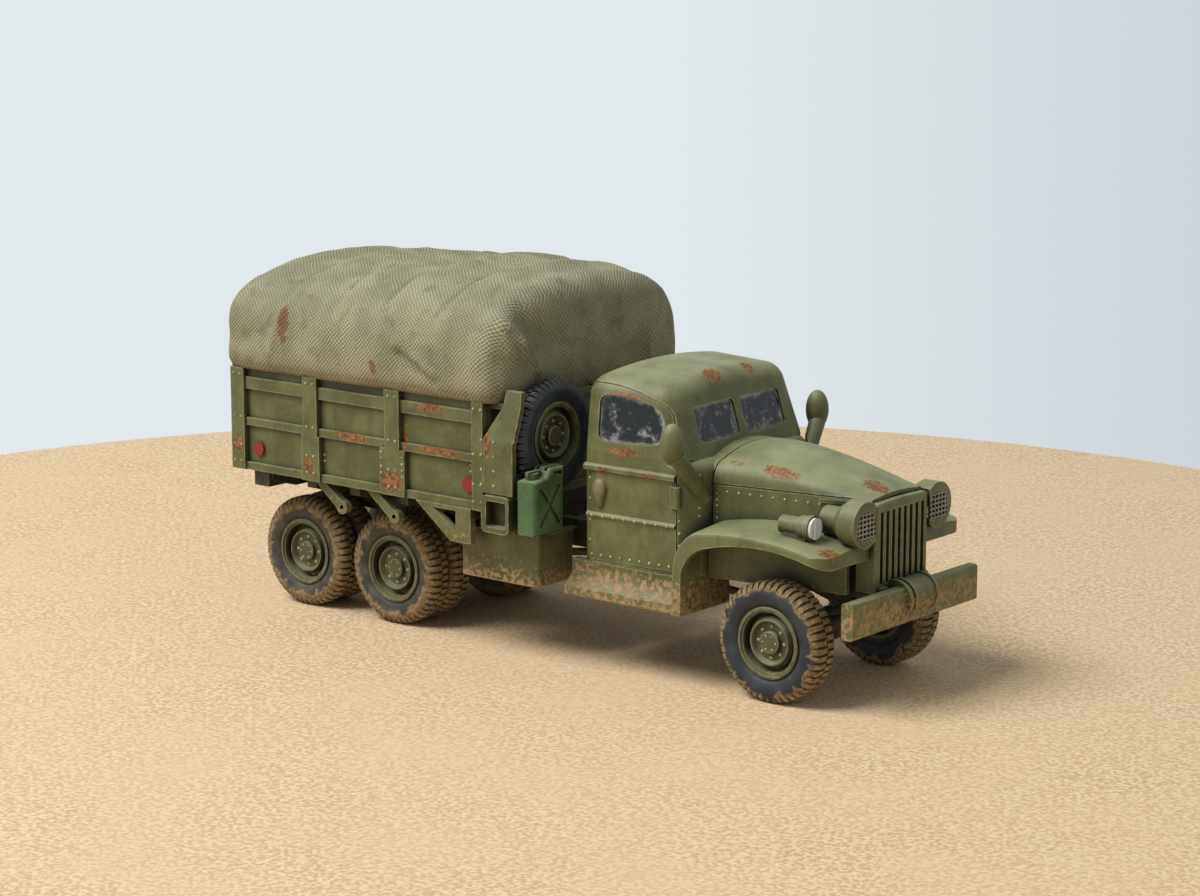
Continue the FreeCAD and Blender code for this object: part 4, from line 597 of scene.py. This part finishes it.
def lug_pair(width):
    """One lug of each shoulder at the top of the wheel, the second half a pitch round."""
    inner = width / 2 - 0.1
    outline = [(WHEEL_R, inner), *LUG_FACE, *LUG_BACK, (TREAD_R - 0.1, inner)]
    bm = bmesh.new()
    for mirrored in (False, True):
        turn = Matrix.Rotation(math.pi / LUGS if mirrored else 0.0, 3, "Y")
        rings = []
        for side in (-1, 1):
            ring = []
            for r, y in outline:
                half = LUG_HALF + 0.06 * (WHEEL_R - r)
                spot = turn @ Vector((side * half, width - y if mirrored else y, r))
                ring.append(bm.verts.new(spot * MM))
            rings.append(ring)
        bm.faces.new(rings[0])
        bm.faces.new(rings[1])
        for i in range(len(outline)):
            j = (i + 1) % len(outline)
            bm.faces.new((rings[0][i], rings[0][j], rings[1][j], rings[1][i]))
    bmesh.ops.recalc_face_normals(bm, faces=bm.faces)
    mesh = bpy.data.meshes.new("lug")
    bm.to_mesh(mesh)
    bm.free()
    return mesh


def tyre_shape(width, lugs_tree, finish):
    """One tyre about the Y axis, from y = 0 to its width, as a bmesh."""
    half = list(SIDEWALL) + [(TREAD_R, width / 2)]
    loop = half + [(r, width - y) for r, y in SIDEWALL[::-1]]
    bm = bmesh.new()
    bm.from_mesh(grown(lugs_tree, lug_pair(width), Copies=LUGS, Finish=finish))
    rings = []
    for k in range(TYRE_STEPS):
        a = 2 * math.pi * k / TYRE_STEPS
        rings.append([bm.verts.new(Vector((r * math.sin(a), y, r * math.cos(a))) * MM) for r, y in loop])
    for k in range(TYRE_STEPS):
        here, there = rings[k], rings[(k + 1) % TYRE_STEPS]
        for i in range(len(loop)):
            j = (i + 1) % len(loop)
            bm.faces.new((here[i], here[j], there[j], there[i]))
    bmesh.ops.recalc_face_normals(bm, faces=bm.faces)
    return bm


def tyre_piece(name, node, body, tyres, width, finish, axle=None, scale=1.0):
    """All tyres of one wheel body; tyres holds the lowest y of each, in mm. The spare's axle is X."""
    low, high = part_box(node)
    middle = (Vector(low) + Vector(high)) / 2
    whole = bmesh.new()
    for start in tyres:
        bm = tyre_shape(width, lugs_tree, finish)
        shift = Matrix.Translation((middle.x, start * MM, middle.z))
        if axle == "X":
            stand = Matrix.Rotation(-math.pi / 2, 4, "Z") @ Matrix.Diagonal((scale, 1, scale, 1))
            shift = Matrix.Translation((low[0], middle.y, middle.z)) @ stand
        bm.transform(shift)
        part = bpy.data.meshes.new("part")
        bm.to_mesh(part)
        bm.free()
        whole.from_mesh(part)
    mesh = bpy.data.meshes.new(name)
    whole.to_mesh(mesh)
    whole.free()
    reach = mesh.attributes.new("radius", "FLOAT", "POINT")
    for i, vertex in enumerate(mesh.vertices):
        off = vertex.co - middle
        across = off.y if axle == "X" else off.x
        reach.data[i].value = math.hypot(across, off.z) / MM
    piece = piece_of(name, mesh, finish, smooth=True)
    mesh.set_sharp_from_angle(angle=math.radians(38))
    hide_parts(node)
    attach(piece, body)


def rubber(name, wall, worn, mud, mud_from):
    """Cast rubber: plain dark sidewall, mud from the given radius outwards and in flecks below it, painted
    shade in the gaps.
    """
    def mud_mask(tree):
        radius = add(tree, "ShaderNodeAttribute", out="Fac", attribute_name="radius")
        place = add(tree, "ShaderNodeTexCoord", out="Object")
        clots = add(tree, "ShaderNodeTexNoise", {"Vector": place, "Scale": 0.75 / MM, "Detail": 7.0})
        zone = add(tree, "ShaderNodeMapRange", {0: radius, 1: mud_from - 0.9, 2: mud_from + 0.5, 4: 0.42})
        both = add(tree, "ShaderNodeMath", {0: zone, 1: clots}, operation="ADD")
        return add(tree, "ShaderNodeMapRange", {0: both, 1: 0.66, 2: 0.78, 4: mud},
                   interpolation_type="SMOOTHSTEP")

    def tones(tree):
        place = add(tree, "ShaderNodeTexCoord", out="Object")
        scuff = add(tree, "ShaderNodeTexNoise", {"Vector": place, "Scale": 0.5 / MM, "Detail": 6.0})
        grey = add(tree, "ShaderNodeMapRange", {0: scuff, 1: 0.42, 2: 0.66})
        side = add(tree, "ShaderNodeMix", {0: grey, 6: colour(wall), 7: colour(worn)}, 2, data_type="RGBA")
        edge = add(tree, "ShaderNodeMath", {0: worn_edge(tree, 0.0002), 1: 0.35}, operation="MULTIPLY")
        side = add(tree, "ShaderNodeMix", {0: edge, 6: side, 7: colour("#6f6f69")}, 2, data_type="RGBA")
        grit = add(tree, "ShaderNodeTexNoise", {"Vector": place, "Scale": 1.8 / MM, "Detail": 5.0})
        spread = add(tree, "ShaderNodeMapRange", {0: grit, 1: 0.36, 2: 0.64})
        clay = add(tree, "ShaderNodeMix", {0: spread, 6: colour("#735f44"), 7: colour("#a58f66")}, 2,
                   data_type="RGBA")
        rubbery = add(tree, "ShaderNodeMix", {0: mud_mask(tree), 6: side, 7: clay}, 2, data_type="RGBA")
        # Painted shade: darker brown between the lugs and where nearby parts crowd the tyre.
        sky = add(tree, "ShaderNodeAmbientOcclusion", {"Distance": 0.001}, "AO", samples=6)
        gap_painted_shade = add(tree, "ShaderNodeMapRange", {0: sky, 1: 0.75, 2: 0.30, 4: 0.7})
        return add(tree, "ShaderNodeMix", {0: gap_painted_shade, 6: rubbery, 7: colour("#40362a")}, 2, data_type="RGBA")

    def dullness(tree):
        return add(tree, "ShaderNodeMapRange", {0: mud_mask(tree), 3: 0.62, 4: 0.95})

    def relief(tree):
        place = add(tree, "ShaderNodeTexCoord", out="Object")
        grain = add(tree, "ShaderNodeTexNoise", {"Vector": place, "Scale": 2.2 / MM, "Detail": 5.0})
        height = add(tree, "ShaderNodeMath", {0: grain, 1: 0.3, 2: mud_mask(tree)}, operation="MULTIPLY_ADD")
        return add(tree, "ShaderNodeBump", {"Height": height, "Strength": 0.4, "Distance": 0.00015})

    return finish_named(name, tones, dullness, relief)


front_rubber = rubber("muddy_cast_rubber", "#22262c", "#343a42", 0.95, 7.1)
rear_rubber = rubber("mud_filmed_cast_rubber", "#35342f", "#5a5447", 0.9, 6.5)
spare_rubber = rubber("clean_cast_rubber", "#23282f", "#343b45", 0.5, 8.2)
lugs_tree = round_copies_tree()
FRONT_TYRE_W = 4.8
TWIN_W = 4.1
for side in ("left", "right"):
    low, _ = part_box("front_tyre_" + side)
    tyre_piece("front_tread_" + side, "front_tyre_" + side, "front_wheel_" + side, [low[1] / MM],
               FRONT_TYRE_W, front_rubber)
    for row in ("middle", "rear"):
        low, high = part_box(row + "_tyres_" + side)
        starts = [low[1] / MM, high[1] / MM - TWIN_W]
        tyre_piece(row + "_treads_" + side, row + "_tyres_" + side, row + "_wheels_" + side, starts, TWIN_W,
                   rear_rubber)
low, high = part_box("spare_tyre")
tyre_piece("spare_tread", "spare_tyre", "truck", [0.0], (high[0] - low[0]) / MM, spare_rubber, "X",
           (high[2] - low[2]) / MM / (2 * WHEEL_R))


# ---- rims, wheel studs and hub bolts -------------------------------------------------------------
# Pressed steel discs on the real truck, cast here as one dished disc a side with a proud hub cap,
# painted olive. Eight studs and six cap bolts are small rounded heads, rubbed paler than the paint.
def heads_tree():
    """A low rounded head on every point, all facing one way."""
    tree = bpy.data.node_groups.new("rounded_heads", "GeometryNodeTree")
    tree.interface.new_socket("Places", in_out="INPUT", socket_type="NodeSocketGeometry")
    tree.interface.new_socket("Radius", in_out="INPUT", socket_type="NodeSocketFloat")
    tree.interface.new_socket("Facing", in_out="INPUT", socket_type="NodeSocketVector")
    tree.interface.new_socket("Finish", in_out="INPUT", socket_type="NodeSocketMaterial")
    tree.interface.new_socket("Heads", in_out="OUTPUT", socket_type="NodeSocketGeometry")
    given = tree.nodes.new("NodeGroupInput")
    ball = add(tree, "GeometryNodeMeshUVSphere", {"Segments": 10, "Rings": 6,
                                                  "Radius": given.outputs["Radius"]})
    flat = add(tree, "GeometryNodeTransform", {"Geometry": ball, "Scale": (1, 1, 0.75)})
    turned = add(tree, "FunctionNodeAlignRotationToVector", {"Vector": given.outputs["Facing"]}, axis="Z")
    heads = add(tree, "GeometryNodeInstanceOnPoints", {"Points": given.outputs["Places"], "Instance": flat,
                                                       "Rotation": turned})
    real = add(tree, "GeometryNodeRealizeInstances", {"Geometry": heads})
    faced = add(tree, "GeometryNodeSetMaterial", {"Geometry": real, "Material": given.outputs["Finish"]})
    add(tree, "NodeGroupOutput", {0: faced})
    return tree


def heads_on(bm, spots, radius, facing, finish):
    """Adds a head at each spot (mm) to the bmesh."""
    points = bpy.data.meshes.new("places")
    points.from_pydata([Vector(spot) * MM for spot in spots], [], [])
    bm.from_mesh(grown(heads, points, Radius=radius * MM, Facing=facing, Finish=finish))


def heads_piece(name, bm, finish, body):
    mesh = bpy.data.meshes.new(name)
    bm.to_mesh(mesh)
    bm.free()
    piece = piece_of(name, mesh, finish)
    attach(piece, body)


def ring_of(count, radius, centre, axle="Y"):
    """Evenly spaced spots round a centre, all in mm."""
    x, y, z = centre
    spots = []
    for k in range(count):
        a = 2 * math.pi * k / count
        u, v = radius * math.cos(a), radius * math.sin(a)
        spots.append((x, y + u, z + v) if axle == "X" else (x + u, y, z + v))
    return spots


def head_colours(tree):
    place = add(tree, "ShaderNodeTexCoord", out="Object")
    worn = add(tree, "ShaderNodeTexNoise", {"Vector": place, "Scale": 0.9 / MM, "Detail": 3.0})
    mask = add(tree, "ShaderNodeMapRange", {0: worn, 1: 0.36, 2: 0.60})
    return add(tree, "ShaderNodeMix", {0: mask, 6: colour("#87865f"), 7: colour("#bfbd94")}, 2,
               data_type="RGBA")


rim_paint = field_paint("dished_olive_wheel_paint", "#4b4c31", "#5e5f40", (12.0, 11.0, 0.25), edge_rust=0.5,
                        edge_tone="#a0987c")
spare_rim_paint = field_paint("clean_olive_wheel_paint", "#474a2e", "#5a5c3b", (5.0, 3.0, 0.1), edge_rust=0.3)
paint_nodes(spare_rim_paint, "spare_rim")
head_finish = finish_named("rubbed_olive_heads", head_colours, lambda tree: 0.6)
heads = heads_tree()
LIP_IN = 0.28              # the rim's lip lies this far inside the outer sidewall
STUD_RING = 2.05
STUD_FLOOR = 1.0           # how far the studs' floor lies behind the lip
CAP_RING = 1.0
CAP_FACE = 0.4             # how far the cap's face lies behind the lip
for side, sign in (("left", 1), ("right", -1)):
    for rim, body in (("front_rim_", "front_wheel_"), ("middle_rims_", "middle_wheels_"),
                      ("rear_rims_", "rear_wheels_")):
        paint_nodes(rim_paint, rim + side)
        low, high = [[c / MM for c in corner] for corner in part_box(rim.replace("rim", "tyre") + side)]
        x, z = (low[0] + high[0]) / 2, (low[2] + high[2]) / 2
        lip = sign * (max(abs(low[1]), abs(high[1])) - LIP_IN)
        bm = bmesh.new()
        heads_on(bm, ring_of(8, STUD_RING, (x, lip - sign * STUD_FLOOR, z)), 0.26, (0, sign, 0), head_finish)
        heads_on(bm, ring_of(6, CAP_RING, (x, lip - sign * CAP_FACE, z)), 0.15, (0, sign, 0), head_finish)
        heads_piece(body + side + "_studs", bm, head_finish, body + side)


# ---- rivets ----------------------------------------------------------------------------------------
# Half-round heads cast with the panels and dry-brushed pale: on the body posts and their feet, on
# the guard plates beside the spare, along the door bottoms, the cowl sides and under the bonnet seam.
def on_side(names, x, z, sign):
    """The outermost spot (mm) of the named pieces at x and z, looked for from one side."""
    best = None
    for name in names:
        inward = nodes[name].matrix_world.inverted()
        start = inward @ (Vector((x, sign * 40.0, z)) * MM)
        hit, spot, _, _ = nodes[name].ray_cast(start, (inward.to_3x3() @ Vector((0, -sign, 0))).normalized())
        if hit:
            spot = (nodes[name].matrix_world @ spot) / MM
            if best is None or sign * spot.y > sign * best.y:
                best = spot
    return best


def side_row(names, count, start, end, sign):
    """Evenly spaced spots between two places (x, z), laid on the pieces' outer faces."""
    spots = []
    for k in range(count):
        share = k / (count - 1)
        spot = on_side(names, start[0] + (end[0] - start[0]) * share, start[1] + (end[1] - start[1]) * share,
                       sign)
        if spot:
            spots.append(spot)
    return spots


POSTS = (-51.1, -36.7, -21.0, -5.35)          # the middle of each body post
POST_HEADS = (21.6, 24.0, 28.1, 34.3)         # heights of the pairs of heads on a post
PANEL_HEADS = ((-38.6, 23.4), (-38.6, 25.4), (-34.7, 23.4), (-23.0, 23.4), (-23.0, 25.4),
               (-19.1, 23.2), (-19.1, 25.0), (-7.2, 23.4), (-7.2, 25.4))
DOOR_FOOT = 15.7
MOULDING = 21.1
bm = bmesh.new()
for sign, side in ((-1, "right"), (1, "left")):
    facing = (0, sign, 0)
    panel = ["side_panel_" + side]
    spots = []
    for post in POSTS:
        for z in POST_HEADS:
            spots += side_row(panel, 2, (post - 0.65, z), (post + 0.65, z), sign)
    for x, z in PANEL_HEADS:
        spots += side_row(panel, 2, (x, z), (x, z + 0.9), sign)
    plate = ["spare_guards", "bed_front_wall", "body_brackets"] + panel
    for x in (-4.6, -2.4):
        spots += side_row(plate, 4, (x, 24.2), (x, 30.2), sign)
    heads_on(bm, spots, 0.20, facing, head_finish)
    door = ["door_" + side, "cab_shell"]
    spots = side_row(door, 9, (9.9, DOOR_FOOT), (22.6, DOOR_FOOT), sign)
    spots += side_row(door, 8, (10.2, MOULDING), (22.4, MOULDING), sign)
    spots += side_row(door, 4, (9.5, 17.6), (9.5, 26.0), sign)
    spots += side_row(door, 5, (24.1, 17.0), (24.1, 23.6), sign)
    heads_on(bm, spots, 0.20, facing, head_finish)
    nose = ["cab_shell", "bonnet"]
    spots = side_row(nose, 6, (25.9, 22.6), (25.9, 28.0), sign)
    spots += side_row(nose, 5, (27.1, 22.2), (27.1, 25.4), sign)
    spots += side_row(["bonnet"], 12, (28.6, 25.8), (46.6, 25.4), sign)
    heads_on(bm, spots, 0.18, facing, head_finish)
heads_on(bm, [(7.38, -10.5 + 2.6 * k, 16.2) for k in range(9)], 0.19, (-1, 0, 0), head_finish)
heads_piece("rivets", bm, head_finish, "truck")

spare_low, spare_high = [[c / MM for c in corner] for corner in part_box("spare_tyre")]
spare_centre = (spare_high[0] - 1.15, (spare_low[1] + spare_high[1]) / 2, (spare_low[2] + spare_high[2]) / 2)
bm = bmesh.new()
heads_on(bm, ring_of(8, STUD_RING, spare_centre, "X"), 0.24, (1, 0, 0), head_finish)
heads_piece("spare_studs", bm, head_finish, "truck")


# ---- window glass -------------------------------------------------------------------------------
# Thin clear sheet behind every opening. The cab behind it is unlit, so the sheet is painted near-black
# as painted shade, glossy, and nothing shows through it, with pale dust dried along the frames and a few
# wiped smears.
def dust_mask(tree):
    sky = add(tree, "ShaderNodeAmbientOcclusion", {"Distance": 0.0014}, "AO", samples=8)
    corner = add(tree, "ShaderNodeMapRange", {0: sky, 1: 0.92, 2: 0.55, 4: 0.35})
    place = add(tree, "ShaderNodeTexCoord", out="Object")
    film = add(tree, "ShaderNodeTexNoise", {"Vector": place, "Scale": 0.7 / MM, "Detail": 7.0,
                                            "Roughness": 0.6})
    both = add(tree, "ShaderNodeMath", {0: film, 1: corner}, operation="ADD")
    return add(tree, "ShaderNodeMapRange", {0: both, 1: 0.52, 2: 0.80, 4: 0.9},
               interpolation_type="SMOOTHSTEP")


def glass_dust_over_painted_shade(tree):
    # Near-black is painted shade for the unlit cab; the paler colour is dust.
    return add(tree, "ShaderNodeMix", {0: dust_mask(tree), 6: colour("#101317"), 7: colour("#b9bcb6")}, 2,
               data_type="RGBA")


glass_finish = finish_named("dusty_sheet_painted_dark_as_shade", glass_dust_over_painted_shade,
                            lambda tree: add(tree, "ShaderNodeMapRange",
                                             {0: dust_mask(tree), 3: 0.06, 4: 0.7}),
                            IOR=1.49)
paint_nodes(glass_finish, "window_glass")


# ---- lamps, guards and reflectors ----------------------------------------------------------------
# Ribbed lenses over silvered bowls, drawn as one solid pale face whose colour is the bowls' painted
# reflection, in olive cups. The headlamps have guards of bar that was once silver. The reflectors are
# small glossy red discs along the body.
def lens_painted_reflection(tree):
    place = add(tree, "ShaderNodeTexCoord", out="Object")
    haze = add(tree, "ShaderNodeTexNoise", {"Vector": place, "Scale": 1.2 / MM, "Detail": 4.0})
    # Near-white is a painted reflection of the silvered bowls; the noise is haze.
    return add(tree, "ShaderNodeMix", {0: haze, 6: colour("#dfe0da"), 7: colour("#fbfbf6")}, 2,
               data_type="RGBA")


def lens_ribs(tree):
    """Upright ribs about 1 mm apart, coarser than real so that they show."""
    place = add(tree, "ShaderNodeTexCoord", out="Object")
    ribs = add(tree, "ShaderNodeTexWave", {"Vector": place, "Scale": 0.32 / MM, "Distortion": 0.0}, "Fac",
               bands_direction="Y")
    return add(tree, "ShaderNodeBump", {"Height": ribs, "Strength": 0.5, "Distance": 0.0002})


lens_finish = finish_named("fluted_lens_painted_reflection", lens_painted_reflection, lambda tree: 0.12, lens_ribs)
paint_nodes(lens_finish, "lamp_lenses")

guard_finish = field_paint("worn_dark_guard_bar", "#66665a", "#85857a", (5.0, 3.0, 0.1), edge_rust=0.6,
                           edge_tone="#b9b9ae")
paint_nodes(guard_finish, "headlamp_guards")


def reflector_colours(tree):
    place = add(tree, "ShaderNodeTexCoord", out="Object")
    grime = add(tree, "ShaderNodeTexNoise", {"Vector": place, "Scale": 1.1 / MM, "Detail": 4.0})
    mask = add(tree, "ShaderNodeMapRange", {0: grime, 1: 0.45, 2: 0.70, 4: 0.5})
    return add(tree, "ShaderNodeMix", {0: mask, 6: colour("#8e1f16"), 7: colour("#5a3327")}, 2,
               data_type="RGBA")


reflector_finish = finish_named("glossy_red_reflector", reflector_colours, lambda tree: 0.22)
paint_nodes(reflector_finish, "reflectors")


# ---- fuel can ------------------------------------------------------------------------------------
# A pressed can with a cross in its side, strapped upright behind the cab: a cooler field green than
# the truck, rubbed pale on its ribs and handles.
can_paint = field_paint("field_green_can_paint", "#3c5636", "#4c6a42", (20.0, 4.0, 0.22), edge_rust=0.2,
                        edge_tone="#7f9468")
paint_nodes(can_paint, "jerrycan")


# ---- inside the cab ---------------------------------------------------------------------------------
# Bench, floor, dashboard and steering wheel, brushed with one thin coat of near-black paint.
def dark_colours(tree):
    place = add(tree, "ShaderNodeTexCoord", out="Object")
    brushed = add(tree, "ShaderNodeTexNoise", {"Vector": place, "Scale": 0.8 / MM, "Detail": 4.0})
    return add(tree, "ShaderNodeMix", {0: brushed, 6: colour("#1f2019"), 7: colour("#35342a")}, 2,
               data_type="RGBA")


inside_finish = finish_named("brushed_dark_cab_paint", dark_colours, lambda tree: 0.8)
paint_nodes(inside_finish, "cab_floor", "bench_seat", "dashboard", "steering_wheel")
